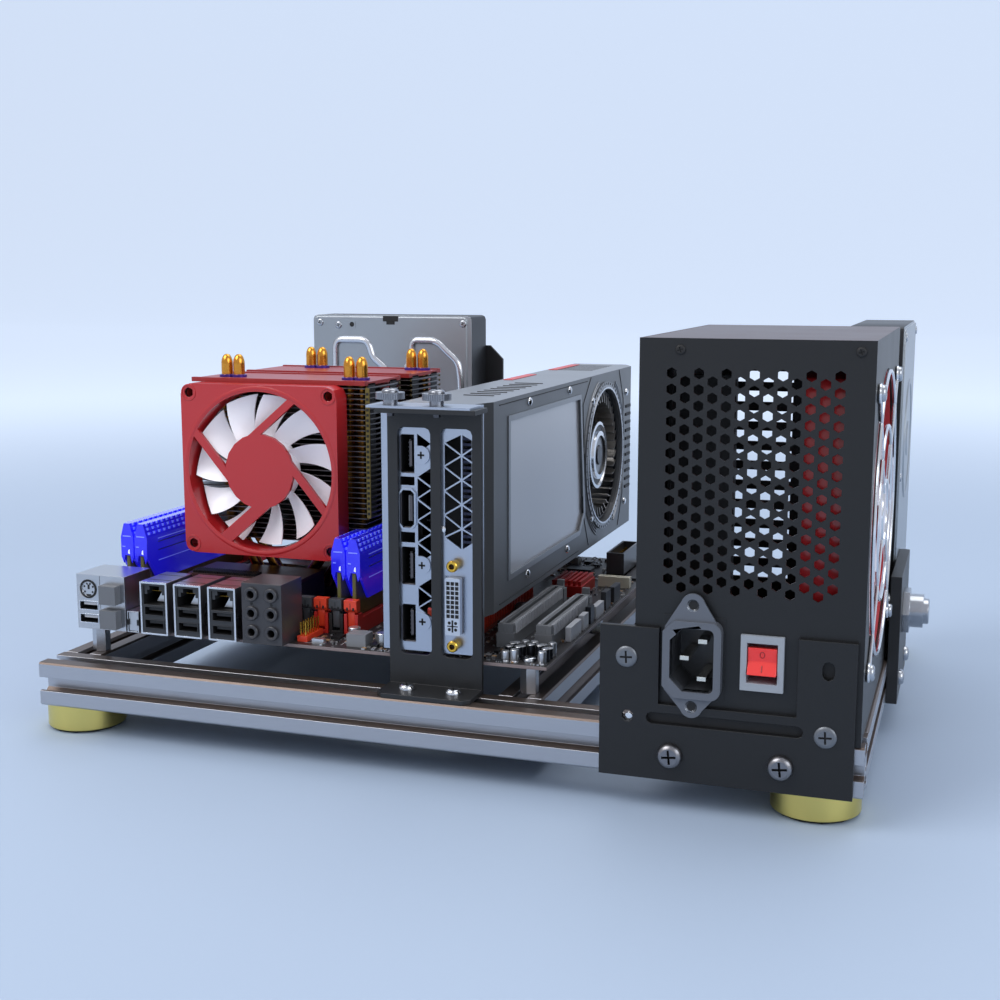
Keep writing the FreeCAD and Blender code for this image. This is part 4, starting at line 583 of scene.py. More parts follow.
paintWhere(shown["memory_sockets"], "blackPlastic", [("redPlastic", inRedSocket)])
paintWhere(shown["motherboard"], "boardTop", [
    ("boardEdge", lambda centres, normals: np.abs(normals[:, 2]) < 0.5)])
paintWhere(shown["hard_drives"], "castBlack", [
    ("driveMetal", lambda centres, normals: ((centres[:, 0] < 200.0) & (centres[:, 1] < 257.02))
     | ((centres[:, 0] > 361.98) & (centres[:, 0] < 363.5)))])
paintWhere(shown["card_shroud"], "shroudGrey", [
    ("windowGrey", lambda centres, normals: (normals[:, 0] > 0.9) & (np.abs(centres[:, 0] - 205.7) < 0.1)),
    ("shroudEdge", lambda centres, normals: normals[:, 2] > 0.8)])
# Card ports: front rims dark nickel, everything behind them painted shade
paintWhere(shown["card_ports"], "recess", [
    ("darkNickel", lambda centres, normals: (normals[:, 1] < -0.8) & (centres[:, 1] < 20.6))])

print("stage: cooler pipes and studs")
coolerX = 82.9  # middle of the cooler
heatPipes = {"radius": 2.75, "apart": 3.2, "frontPairs": (-25.4, 38.8), "rearPairs": (-16.9, 39.9),
             "bases": (-16.5, -5.5, 5.5, 16.5), "knees": (59.0, 62.0, 62.0, 59.0), "frontY": 82.0,
             "rearY": 155.0, "top": 131.0, "aboveBoard": 11.2, "middle": 116.5, "halfBase": 25.0,
             "bend": 5.0, "collar": 124.6}
pipeTip = [(2.75, 0.0), (2.72, 0.8), (2.5, 2.0), (2.05, 3.2), (1.4, 4.1), (0.7, 4.45), (0.0, 4.5)]
pipeCollar = [(2.8, 0.0), (3.7, 0.0), (3.7, 1.1), (2.8, 1.4)]


# Round pipes with real bends where the source has mitred ones, tips drawn to a point
def heatPipePieces():
    pipes = Pile("heatPipesRound")
    apart, top, middle = heatPipes["apart"], heatPipes["top"], heatPipes["middle"]
    frontY, rearY, reach = heatPipes["frontY"], heatPipes["rearY"], heatPipes["halfBase"]
    fronts = [coolerX + pair + side * apart for pair in heatPipes["frontPairs"] for side in (-1, 1)]
    shadeSheets = [coolerX + pair + side * apart for pair in heatPipes["rearPairs"] for side in (-1, 1)]
    level = boardTop + heatPipes["aboveBoard"]
    for front, rear, offset, knee in zip(fronts, shadeSheets, heatPipes["bases"], heatPipes["knees"]):
        base = coolerX + offset
        corners = [(front, frontY, top), (front, frontY, knee), (base, middle - reach, level),
                   (base, middle + reach, level), (rear, rearY, knee), (rear, rearY, top)]
        pipes.tube(roundedRoute(corners, heatPipes["bend"]), heatPipes["radius"], 20, "pipeGold")
        for x, y in ((front, frontY), (rear, rearY)):
            pipes.turned((x, y, top), (0, 0, 1), pipeTip, 20, "pipeGold")
            pipes.turned((x, y, heatPipes["collar"]), (0, 0, 1), pipeCollar, 20, "violet")
    return pipes.finish(replaced=("heat_pipes",))


tower = {"left": -40.5, "right": 49.1, "fronts": (69.0, 122.0), "depth": 42.0, "plates": 26, "lowest": 61.4,
         "pitch": 2.4, "sheet": 0.5, "capLevel": 123.0, "lowPlates": 5, "lowLevel": 49.4}


# Plates with folded tabs down their sides, gold studs at their edges and a strip at the front corner dotted
# with painted fin shadows
def towerDetails():
    details = Pile("towerDetails")
    left, right = coolerX + tower["left"], coolerX + tower["right"]
    wide, deep, sheet, cap = right - left, tower["depth"], tower["sheet"], tower["capLevel"]
    for front in tower["fronts"]:
        details.box(left, front, cap, wide, deep, 1.6, "finTop")
        for row in range(tower["plates"]):
            z = tower["lowest"] + tower["pitch"] * row
            details.box(left, front, z, wide, deep, sheet, "finMetal")
            for y in (front + 1.0, front + 39.6):
                details.box(right, y, z - 0.3, 0.45, 1.2, 1.1, "olive")
            for y in (front + 4.0, front + 29.0):
                details.box(right - 0.4, y, z + 0.5, 0.4, 8.0, 1.9, "darkSink")
        for y in (front, front + 39.6):
            details.box(left, y, cap + 1.6, wide, 2.4, 0.5, "finTop")
        for row in range(tower["plates"]):
            z = tower["lowest"] + 0.2 + tower["pitch"] * row
            rib = [(right - 0.4, front + 3.0, z), (right + 0.5, front + 12.0, z),
                   (right + 0.5, front + 30.0, z), (right - 0.4, front + 39.0, z)]
            details.tube(rib, 0.55, 8, "finMetal")
    for row in range(tower["lowPlates"]):
        z = tower["lowLevel"] + tower["pitch"] * row
        details.box(left, tower["fronts"][0], z, wide, 30.0, sheet, "finMetal")
    details.box(132.1, 69.2, 62.0, 2.0, 0.8, 60.0, "olive")
    # Painted fin shadows, dotted down the strip
    for row in range(24):
        details.box(132.5, 69.0, 63.5 + 2.4 * row, 1.2, 0.3, 1.2, "recess")
    return details.finish(bevel=0.05, replaced=("cooler_fins",))


coolerFan = {"height": 83.0, "setBack": 2.6, "blades": 11, "firstBlade": 0.25, "hub": 16.0, "reach": 19.4,
             "sweep": 14.0, "rootHalf": 3.3, "tipGain": 3.9, "near": 0.5, "far": 7.3, "flatten": 0.9,
             "camber": 0.10, "halfThickness": 0.35, "spans": 12, "chords": 8}
fanHub = [(0.0, 0.0), (15.6, 0.0), (16.4, 0.6), (16.4, 7.3), (15.9, 7.8), (0.0, 7.8)]


# Faces of two layers of a grid and of the wall round their edge
def bladeFaces(spans, chords):
    width = chords + 1
    layer = (spans + 1) * width
    faces = []
    for span in range(spans):
        for chord in range(chords):
            near = span * width + chord
            faces.append((near, near + 1, near + width + 1, near + width))
            faces.append((layer + near, layer + near + width, layer + near + width + 1, layer + near + 1))
    edge = (list(range(chords)) + [chords + span * width for span in range(spans)]
            + [spans * width + chords - chord for chord in range(chords)]
            + [(spans - span) * width for span in range(spans)])
    after = edge[1:] + edge[:1]
    return faces + [(here, layer + here, layer + there, there) for here, there in zip(edge, after)]


# Hub, shaft and blades. With s out and c across a blade, both 0 to 1: radius = hub + reach s,
# angle = start + sweep (0.8 s + 0.2 s s) + half (2 c - 1), height = near + (far - near)(c + camber sin pi c).
def fanWheel(name, front):
    wheel = Pile(name + "Round")
    fan = coolerFan
    centreZ, low = fan["height"], front + fan["setBack"]
    wheel.turned((coolerX, low, centreZ), (0, 1, 0), fanHub, 48, "bladeWhite")
    wheel.turned((coolerX, low, centreZ), (0, -1, 0), [(1.5, 0.0), (1.5, 2.0), (0.0, 2.0)], 16, "steel")
    out = np.linspace(0.0, 1.0, fan["spans"] + 1)[:, None]
    over = np.linspace(0.0, 1.0, fan["chords"] + 1)[None, :]
    radius = fan["hub"] + fan["reach"] * out
    bend = math.radians(fan["sweep"]) * (0.8 * out + 0.2 * out ** 2)
    half = (fan["rootHalf"] + fan["tipGain"] * out) / radius
    near, far = fan["near"] + fan["flatten"] * out, fan["far"] - fan["flatten"] * out
    height = low + near + (far - near) * (over + fan["camber"] * np.sin(np.pi * over))
    faces = bladeFaces(fan["spans"], fan["chords"])
    for blade in range(fan["blades"]):
        start = math.radians(360.0 / fan["blades"] * (blade + fan["firstBlade"]))
        angle = start + bend + half * (2.0 * over - 1.0)
        x, z = coolerX + radius * np.cos(angle), centreZ - radius * np.sin(angle)
        layers = []
        for side in (-1, 1):
            layer = np.stack((x, height + side * fan["halfThickness"], z), 2)
            layers.append(layer.reshape(-1, 3))
        wheel.add(np.concatenate(layers), faces, "bladeWhite")
    return wheel.finish(body=name + "_body", angle=40.0, replaced=(name,))


fanLip = [(37.0, 2.2), (37.05, 0.3), (37.6, -0.12), (38.6, -0.2), (39.3, -0.1), (39.6, 0.05)]
cornerRim = [(2.2, 2.2), (2.2, 0.5), (3.2, 0.1), (3.3, -0.3), (3.8, -0.3), (3.95, 0.05)]
cornerReach = 35.75


# The lip round a fan frame's opening and the stepped holes at its corners, their bores painted shade
def fanFace(front):
    face = Pile("fanFace%d" % int(front))
    centreZ = coolerFan["height"]
    face.turned((coolerX, front, centreZ), (0, 1, 0), fanLip, 96, "fanRed")
    for side in (-1, 1):
        for level in (-1, 1):
            place = (coolerX + side * cornerReach, front, centreZ + level * cornerReach)
            face.turned(place, (0, 1, 0), cornerRim, 28, "fanRed", ["recess"] + ["fanRed"] * 4)
    return face.finish(angle=50.0)


heatPipePieces()
towerDetails()
for name, front in (("front_rotor", 58.0), ("middle_rotor", 111.0), ("back_rotor", 164.0)):
    fanWheel(name, front)
    fanFace(front)

print("stage: fasteners")

up, forward, right, backward = (0, 0, 1), (0, -1, 0), (1, 0, 0), (0, 1, 0)
frameScrews = [  # places, way they face, radius, height, finish, turn of the cross
    ([(176.3, 8.8, 2.0), (197.1, 8.8, 2.0)], up, 3.4, 2.3, "chrome", 0.5),
    ([(14.5, 28.0, boardTop), (224.0, 28.0, boardTop), (14.5, 133.5, boardTop), (14.5, 238.5, boardTop),
      (224.0, 238.5, boardTop)], up, 3.1, 1.7, "steel", 0.2),
    ([(9.0, 272.0, 2.0), (121.5, 272.0, 2.0), (353.0, 159.5, 2.0), (353.0, 272.0, 2.0)], up, 3.2, 2.0,
     "darkSteel", 0.2),
    ([(290.5, -2.5, -10.0), (332.7, -2.5, -10.0)], forward, 4.9, 3.0, "footScrew", 0.1),
    ([(272.8, -2.5, 27.8), (348.8, -2.5, 3.5)], forward, 4.2, 1.0, "plateScrew", 0.05),
    # Two holes near the supply's top edge, drawn as black heads: painted shade
    ([(291.0, 0.0, 145.7), (356.1, 0.0, 145.9)], forward, 1.9, 0.8, "recess", 0.3),
    ([(368.0, 137.0, -10.0), (368.0, 180.0, -10.0)], right, 3.6, 2.2, "steel", 0.3),
    ([(363.0, 12.5, 25.5), (363.0, 12.5, 130.5), (363.0, 117.5, 25.5), (363.0, 117.5, 130.5)], right, 3.2,
     1.6,
     "steel", 0.3),
    ([(9.0, 284.0, 30.0), (120.0, 284.0, 30.0), (9.0, 284.0, 117.0), (120.0, 284.0, 117.0)], backward, 2.6,
     1.5,
     "darkSteel", 0.3),
]


def frameFasteners():
    screws = Pile("frameScrews")
    for places, facing, radius, height, finish, turn in frameScrews:
        for place in places:
            screws.screw(place, facing, radius, height, finish, turn)
    return screws.finish()


inletMiddle = (298.4, 28.9)
inletEars = ((50.0, 4.6), (10.4, 4.3))  # height of the middle, radius
inletPins = ((3.8, 7.2), (3.6, -7.4), (-3.1, 0.3))


# The inlet's outline: its left corners cut off straight, its right corners rounded
def inletShape(half, tall, cut, bend):
    x, z = inletMiddle
    points = [(x - half + cut, z - tall)]
    for centreZ, start in ((z - tall + bend, -90), (z + tall - bend, 0)):
        for step in range(7):
            angle = math.radians(start + 15 * step)
            points.append((x + half - bend + bend * math.cos(angle), centreZ + bend * math.sin(angle)))
    return points + [(x - half + cut, z + tall), (x - half, z + tall - cut), (x - half, z - tall + cut)]


# The power inlet: eared flange, raised rim, deep socket with its left corners cut, and three flat pins
def inletSocket():
    inlet = Pile("psuInletSocket")
    x, z = inletMiddle
    cavity = inletShape(8.4, 12.4, 5.0, 2.2)
    inlet.plate(inletShape(11.2, 15.1, 4.4, 4.0), [cavity], "y", -4.9, 4.9, "flangeGrey")
    inlet.plate(inletShape(9.2, 13.2, 5.4, 3.4), [cavity], "y", 0.0, 17.0, "inletBlack")
    inlet.plate(inletShape(9.2, 13.2, 5.4, 3.4), [], "y", 17.0, 1.5, "inletBlack")
    outline = []
    for (centreZ, radius), first in zip(inletEars, (20, 200)):
        for step in range(15):
            angle = math.radians(first + 10 * step)
            outline.append((x + radius * math.cos(angle), centreZ + radius * math.sin(angle)))
        side = -1 if first == 20 else 1
        outline += [(x + side * 10.6, z - side * 12.4), (x + side * 10.6, z + side * 12.4)]
    bores = [circlePoints(x, level, 2.4) for level, _ in inletEars]
    inlet.plate(outline, [cavity] + bores, "y", -3.6, 1.1, "flangeGrey")
    back = [(x - 12.0, z - 15.9), (x + 12.0, z - 15.9), (x + 12.0, z + 16.3), (x - 12.0, z + 16.3)]
    inlet.plate(back, [cavity], "y", -0.3, 0.25, "psuBlack")
    inlet.plate(inletShape(11.0, 14.9, 4.4, 4.0), [cavity], "y", -2.4, 2.1, "flangeGrey")
    # Countersinks in the ears, their inner part painted shade
    for level, _ in inletEars:
        cone = [(2.4, 0.0), (1.8, -0.8), (0.0, -0.8)]
        inlet.turned((x, -3.5, level), (0, -1, 0), cone, 24, "steel", ["steel", "recess"])
    for aside, rise in inletPins:
        inlet.box(x + aside - 1.7, -2.6, z + rise - 0.85, 3.4, 18.6, 1.7, "contactMetal")
    return inlet.finish(bevel=0.3, replaced=("psu_inlet", "inlet_blades"))


# Painted shade: black sheets behind the long slot and the slotted hole of the end plate; painted light: a
# bright metal dome behind the small round hole
def plateShadows():
    shadeSheets = Pile("plateShadeSheets")
    shadeSheets.box(281.0, -0.08, 2.3, 59.4, 0.06, 4.0, "recess")
    shadeSheets.box(347.1, -0.08, 25.4, 4.0, 0.06, 6.6, "recess")
    shadeSheets.turned((273.6, -0.4, 3.4), (0, -1, 0), [(1.7, 0.0), (1.5, 0.4), (0.0, 0.7)], 18, "tipBright")
    return shadeSheets.finish()


thumbScrews = {"places": (169.5, 189.8), "y": 11.0, "tip": 116.0, "seat": 121.0, "collar": 2.2, "teeth": 40,
               "toothRadius": 5.95, "gapRadius": 5.7, "head": 2.7, "capRadius": 3.4}


# Knurled heads with a slotted cap, on a neck and a threaded shank
def thumbScrewPieces():
    screws = Pile("thumbScrewsRound")
    y, seat, collar, teeth = (thumbScrews[key] for key in ("y", "seat", "collar", "teeth"))
    outer, inner = thumbScrews["toothRadius"], thumbScrews["gapRadius"]
    turns = (np.arange(teeth)[:, None] + np.array((0.0, 0.5, 0.62, 0.88))).ravel() * 2 * np.pi / teeth
    radii = np.tile((outer, outer, inner, inner), teeth)
    for x in thumbScrews["places"]:
        screws.turned((x, y, thumbScrews["tip"]), up, [(0.0, 0.0), (1.5, 0.2), (1.5, 5.0)], 16, "darkSteel")
        screws.turned((x, y, seat), up, [(3.0, 0.0), (3.0, collar), (5.6, collar)], 24, "thumbSteel")
        knurl = np.stack((x + radii * np.cos(turns), y + radii * np.sin(turns)), 1)
        screws.plate(knurl, [], "z", seat + collar, thumbScrews["head"], "thumbSteel")
        top = seat + collar + thumbScrews["head"]
        screws.screw((x, y, top), up, thumbScrews["capRadius"], 1.5, "thumbSteel", 0.6)
    return screws.finish(bevel=0.05, replaced=("thumb_screws",))


frameFasteners()
inletSocket()
plateShadows()
thumbScrewPieces()

print("stage: power supply details")


guard = {"level": 362.3, "y": 65.0, "z": 78.0, "wire": 0.8, "rings": (13.2, 35.2, 57.2),
         "spokes": (13.2, 71.0),
         "eyeMiddle": 74.2, "eyeRadius": 3.0}


# A closed line round a point, its last point on its first
def ringLine(x, y, z, radius, steps):
    angles = 2.0 * np.pi * np.arange(steps + 1) / steps
    return np.stack((np.full(steps + 1, x), y + radius * np.cos(angles), z + radius * np.sin(angles)), 1)


# Three rings, four spokes and an eye at each spoke's end
def guardWires():
    wires = Pile("guardWires")
    x, y, z, wire = guard["level"], guard["y"], guard["z"], guard["wire"]
    for radius in guard["rings"]:
        wires.tube(ringLine(x, y, z, radius, 64), wire, 10, "chromeWire")
    for index in range(4):
        angle = math.radians(45 + 90 * index)
        cosine, sine, eye = math.cos(angle), math.sin(angle), guard["eyeMiddle"]
        spoke = [(x, y + reach * cosine, z + reach * sine) for reach in guard["spokes"]]
        wires.tube(spoke, wire, 10, "chromeWire")
        wires.tube(ringLine(x, y + eye * cosine, z + eye * sine, guard["eyeRadius"], 24), wire, 10,
                   "chromeWire")
    return wires.finish(replaced=("psu_guard",))


# The plain off ring and on stroke, raised on the rocker's two faces, tipped with it
def rockerMarks():
    marks = Pile("rockerMarks")
    pivot = Vector((324.55, 2.5, 29.2))
    tip = Matrix.Rotation(math.radians(-10.0), 3, "X")
    slope = math.atan2(1.6, 5.18)

    # A point on a face: u across, v up the face from its middle
    def put(u, v, upper):
        side = 1.0 if upper else -1.0
        along = Vector((0.0, -math.sin(slope), side * math.cos(slope)))
        start = Vector((pivot.x, -0.9, 29.2))
        point = start + along * (2.75 + side * v) + Vector((u, 0.0, 0.0)) + Vector((0.0, -0.08, 0.0))
        return pivot + tip @ (point - pivot)

    turns = [2 * math.pi * i / 24 for i in range(25)]
    ring = [put(0.85 * math.cos(turn), 1.2 * math.sin(turn), True) for turn in turns]
    marks.tube(ring, 0.16, 8, "mark")
    marks.tube([put(0.0, -1.3, False), put(0.0, 0.0, False), put(0.0, 1.3, False)], 0.2, 8, "mark")
    return marks.finish(body="psu_rocker_body")


guardWires()
rockerMarks()

print("stage: card details")


# A triangle drawn in from its own edges
def inset(corners, distance):
    a, b, c = (Vector(corner) for corner in corners)
    sides = ((b - c).length, (c - a).length, (a - b).length)
    total = sum(sides)
    centre = (a * sides[0] + b * sides[1] + c * sides[2]) / total
    inner = abs((b - a).x * (c - a).y - (b - a).y * (c - a).x) / total
    share = max(0.05, (inner - distance) / inner)
    return [tuple(centre + (corner - centre) * share) for corner in (a, b, c)]


# The card's end plate with its lattice of triangles, port openings and the tab over the flange
def cardBracketPiece():
    plate = Pile("cardBracketPlate")
    front, sheet = 19.3, 1.0
    outer = [(161.6, 16.0), (206.6, 16.0), (206.6, 120.0), (161.6, 120.0)]
    holes = []
    for low in (19.5, 44.1, 91.5):
        holes.append([(169.8, low + 1.2), (170.8, low + 0.2), (176.4, low + 0.2), (176.4, low + 16.4),
                      (170.8, low + 16.4),
                      (169.8, low + 15.4)])
    holes.append([(169.8, 70.6), (171.4, 68.6), (175.0, 68.6), (176.5, 70.2), (176.5, 83.4), (175.0, 84.8),
                  (171.4, 84.8), (169.8, 82.8)])
    holes.append([(170.0, 86.6), (176.4, 86.6), (176.4, 90.2), (170.0, 90.2)])
    holes.append([(170.0, 62.4), (176.4, 62.4), (176.4, 66.8), (170.0, 66.8)])
    holes.append(softRectangle(191.0, 24.9, 197.8, 49.1, 0.8))
    centres = [108.9, 99.9, 89.8, 79.6, 69.4, 60.3]
    sides = [105.1, 95.1, 85.0, 74.9, 65.5]
    for edge in (189.5, 205.1):
        for index in range(5):
            holes.append(inset([(197.3, centres[index]), (197.3, centres[index + 1]), (edge, sides[index])],
                               0.33))
        for index in range(4):
            holes.append(inset([(edge, sides[index]), (edge, sides[index + 1]), (197.3, centres[index + 1])],
                               0.33))
    for index in range(9):
        top = 108.9 - 9.3 * index
        if index in (1, 6, 8):
            continue
        holes.append(inset([(177.4, top), (177.4, top - 9.3), (184.4, top - 4.65)], 0.33))
    for index in range(8):
        top = 104.3 - 9.3 * index
        if index in (0, 5):
            continue
        holes.append(inset([(184.4, top), (184.4, top - 9.3), (177.4, top - 4.65)], 0.33))
    plate.plate(outer, holes, "y", front, sheet, "bracketSilver")
    tab = [(161.6, 4.0), (206.6, 4.0), (206.6, 20.3), (161.6, 20.3)]
    plate.plate(tab, [circlePoints(x, 11.0, 1.7, 16) for x in (169.5, 189.8)], "z", 120.0, 1.0,
                "bracketSilver")
    return plate.finish(bevel=0.06, replaced=("card_bracket",))


# What shows in the holder's windows: tabs with crosses, the pin socket, gold posts, tongues behind; the
# crosses, pin holes and post bores painted black as shade
def cardFrontDetails():
    details = Pile("cardFrontDetails")
    front = 19.3
    for z in (99.5, 53.1, 28.9):
        shape = [(177.2, z - 3.9), (179.6, z - 3.9)]
        for degrees in range(-75, 90, 15):
            angle = math.radians(degrees)
            shape.append((179.6 + 3.9 * math.cos(angle), z + 3.9 * math.sin(angle)))
        shape += [(179.6, z + 3.9), (177.2, z + 3.9)]
        details.plate(shape, [], "y", front - 0.9, 0.95, "bracketSilver")
        details.box(179.3, front - 1.0, z - 1.5, 0.8, 0.12, 3.0, "recess")
        details.box(178.2, front - 1.0, z - 0.4, 3.0, 0.12, 0.8, "recess")
    for low in (19.5, 44.1, 91.5):
        details.box(173.6, front + 1.4, low + 2.6, 0.9, 6.0, 11.6, "portDark")
        for pin in range(6):
            details.box(173.0, front + 2.0, low + 3.4 + 1.8 * pin, 0.5, 4.0, 0.6, "darkMetal")
    details.box(173.2, front + 1.2, 71.4, 1.4, 6.0, 10.8, "greyPlastic")
    rim = [(169.3, 70.2), (171.2, 67.9), (175.3, 67.9), (177.2, 70.0), (177.2, 83.6), (175.3, 85.5),
           (171.2, 85.5),
           (169.3, 83.2)]
    hole = [(170.0, 70.7), (171.5, 68.8), (174.9, 68.8), (176.4, 70.4), (176.4, 83.2), (174.9, 84.6),
            (171.5, 84.6),
            (170.0, 82.7)]
    details.plate(rim, [hole], "y", front - 0.9, 0.9, "bracketSilver")
    holes = []
    for column in range(3):
        for row in range(8):
            x, z = 192.35 + 1.95 * column, 33.0 + 1.98 * row
            holes.append([(x - 0.8, z - 0.8), (x + 0.8, z - 0.8), (x + 0.8, z + 0.8), (x - 0.8, z + 0.8)])
    face = softRectangle(191.0, 24.9, 197.6, 49.2, 0.7)
    details.plate(face, holes, "y", front - 3.8, 0.6, "socketSilver")
    details.plate(softRectangle(191.1, 25.0, 197.5, 49.1, 0.7), [], "y", front - 3.3, 4.5, "socketSilver")
    details.plate([(191.6, 32.0), (197.0, 32.0), (197.0, 48.2), (191.6, 48.2)], [], "y", front - 3.4, 0.12,
                  "recess")
    details.box(193.9, front - 3.86, 26.2, 0.8, 0.08, 5.2, "recess")
    details.box(192.0, front - 3.86, 28.55, 4.6, 0.08, 0.5, "recess")
    for x in (192.9, 195.7):
        for z in (27.4, 30.2):
            details.turned((x, front - 3.8, z), (0, -1, 0), [(0.7, 0.0), (0.7, 0.06), (0.0, 0.06)], 12,
                           "recess")
    for z in (54.2, 20.2):
        post = [(1.9, 0.0), (1.9, 2.6), (2.45, 2.6), (2.45, 4.2), (2.0, 4.7), (1.2, 4.7), (1.0, 3.0),
                (0.0, 3.0)]
        shares = ["gold"] * 6 + ["recess"]
        details.turned((194.3, front, z), (0, -1, 0), post, 18, "gold", shares)
    details.turned((188.9, front - 0.1, 68.9), (0, -1, 0), [(1.5, 0.0), (1.4, 0.4), (0.0, 0.9)], 18,
                   "tipBright")
    return details.finish(bevel=0.05)


# Black sheet behind the lattice, painted shade where the card's inside shows through, ribbed on its right
# half as the cooling plates behind it are
def cardBacking():
    backing = Pile("cardBacking")
    backing.box(177.6, 34.0, 33.0, 26.5, 0.4, 85.0, "recess")
    for rib in range(22):
        backing.box(196.5, 22.4, 58.0 + rib * 2.4, 7.5, 11.0, 1.1, "spreaderFin")
    return backing.finish()


# Screws, the window's frame, the fan ring and thin panel lines on the card's cover; the ring's slits, the
# vents and the slits on top drawn black as painted shade
def shroudDetails():
    details = Pile("shroudDetails")
    face = 206.5
    for y, z in ((82.0, 117.0), (146.5, 117.0), (144.0, 38.3), (79.3, 39.1), (190.0, 108.0), (189.0, 46.0),
                 (263.0, 107.0), (261.0, 44.6)):
        details.turned((face, y, z), (1, 0, 0), [(2.1, 0.0), (2.0, 0.4), (1.5, 0.9), (0.8, 1.15),
                                                 (0.0, 1.2)], 24,
                       "chrome")
    outer = [(51.5, 41.5), (166.2, 41.5), (176.6, 52.0), (166.6, 113.5), (51.5, 113.5)]
    inner = [(54.0, 44.0), (165.0, 44.0), (173.0, 52.0), (165.0, 111.0), (54.0, 111.0)]
    details.plate(outer, [inner], "x", face, 0.5, "shroudEdge")
    details.plate(circlePoints(215.0, 76.7, 39.5, 64), [circlePoints(215.0, 76.7, 36.0, 64)], "x", face, 1.0,
                  "shroudEdge")
    details.plate(circlePoints(215.0, 76.7, 36.9, 64), [circlePoints(215.0, 76.7, 35.9, 64)], "x",
                  face + 0.9, 0.5,
                  "nickel")
    for radius in (40.6, 42.2, 43.8):
        for first, last in ((108, 172), (188, 250), (-62, -8), (8, 62)):
            turns = [math.radians(degrees) for degrees in range(first, last + 1, 4)]
            arc = [(face + 0.1, 215.0 + radius * math.cos(turn), 76.7 + radius * math.sin(turn))
                   for turn in turns]
            if all(34.0 < z < 118.0 and y < 272.0 for _, y, z in arc):
                details.tube(arc, 0.45, 8, "shroudEdge")
    for step in range(60):
        angle = math.radians(6.0 * step)
        y, z = 215.0 + 38.0 * math.cos(angle), 76.7 + 38.0 * math.sin(angle)
        outY, outZ = 215.0 + 39.2 * math.cos(angle), 76.7 + 39.2 * math.sin(angle)
        details.tube([(face + 1.05, y, z), (face + 1.05, outY, outZ)], 0.22, 6, "recess")
    for line in ([(face + 0.05, 186.5, 120.5), (face + 0.05, 171.5, 107.6), (face + 0.05, 174.0, 80.0),
                  (face + 0.05, 171.4, 54.7), (face + 0.05, 184.0, 33.0)],
                 [(face + 0.05, 40.0, 33.5), (face + 0.05, 165.0, 33.5)],
                 [(face + 0.05, 40.0, 119.0), (face + 0.05, 180.0, 119.0)],
                 [(face + 0.05, 246.0, 120.5), (face + 0.05, 256.0, 104.0), (face + 0.05, 256.0, 50.0),
                  (face + 0.05, 246.0, 33.0)]):
        details.tube(line, 0.25, 6, "recess")
    for row in range(11):
        details.box(face - 0.02, 262.0, 52.0 + row * 4.6, 0.5, 11.0, 1.6, "recess")
    details.box(171.0, 150.0, 121.0, 5.0, 40.0, 0.3, "redPlastic")
    details.box(171.0, 228.0, 121.0, 5.0, 46.0, 0.3, "redPlastic")
    for step in range(9):
        details.box(183.0, 60.0 + step * 9.0, 121.0, 14.0, 1.2, 0.25, "recess")
    return details.finish(bevel=0.08)


blower = {"low": 183.0, "depth": 22.0, "y": 215.0, "z": 76.7, "blades": 38, "inner": 28.4, "reach": 6.0,
          "lean": 0.10, "curl": 0.05, "half": 0.35}
blowerHub = [(18.4, 1.5), (18.4, 19.0), (18.0, 20.6), (16.4, 20.8), (16.0, 19.8), (13.4, 19.8), (13.0, 21.2),
             (10.6, 21.5), (10.2, 20.4), (5.4, 20.4), (5.0, 21.2), (0.0, 21.4)]
blowerHubFinishes = ["darkMetal", "chrome", "chrome", "nickel", "blackPlastic", "chrome", "chrome",
                     "blackPlastic", "shroudEdge", "darkMetal", "darkMetal"]


# The blower as it is seen through its opening: many thin leaning blades, ring and stepped hub.
# At a share s of a blade: radius = inner + reach s, angle = start + lean s + curl s s
def blowerWheel():
    wheel = Pile("blowerWheel")
    low, y, z = blower["low"], blower["y"], blower["z"]
    high = blower["depth"] - 1.6
    base = [(4.1, 0.0), (34.9, 0.0), (34.9, 1.6), (18.4, 2.0)]
    wheel.turned((low, y, z), (1, 0, 0), base, 64, "blackPlastic")
    share = np.array((0.0, 0.5, 1.0))
    radius = blower["inner"] + blower["reach"] * share
    half = blower["half"] / radius
    radii = np.concatenate((radius, radius[::-1]))
    for index in range(blower["blades"]):
        start = 2 * math.pi * index / blower["blades"]
        angle = start + blower["lean"] * share + blower["curl"] * share ** 2
        angles = np.concatenate((angle - half, (angle + half)[::-1]))
        blade = np.stack((y + radii * np.cos(angles), z + radii * np.sin(angles)), 1)
        wheel.plate(blade, [], "x", low + 1.4, high, "bladeGrey")
    rim = [(33.6, high), (34.6, high), (34.6, high + 1.4), (33.6, high + 1.4), (33.6, high)]
    wheel.turned((low, y, z), (1, 0, 0), rim, 64, "darkMetal")
    wheel.turned((low, y, z), (1, 0, 0), blowerHub, 56, "blackPlastic", blowerHubFinishes)
    return wheel.finish(body="card_blower_body", replaced=("card_blower",))


cardBracketPiece()
cardFrontDetails()
cardBacking()
shroudDetails()
blowerWheel()

print("stage: ports and board")


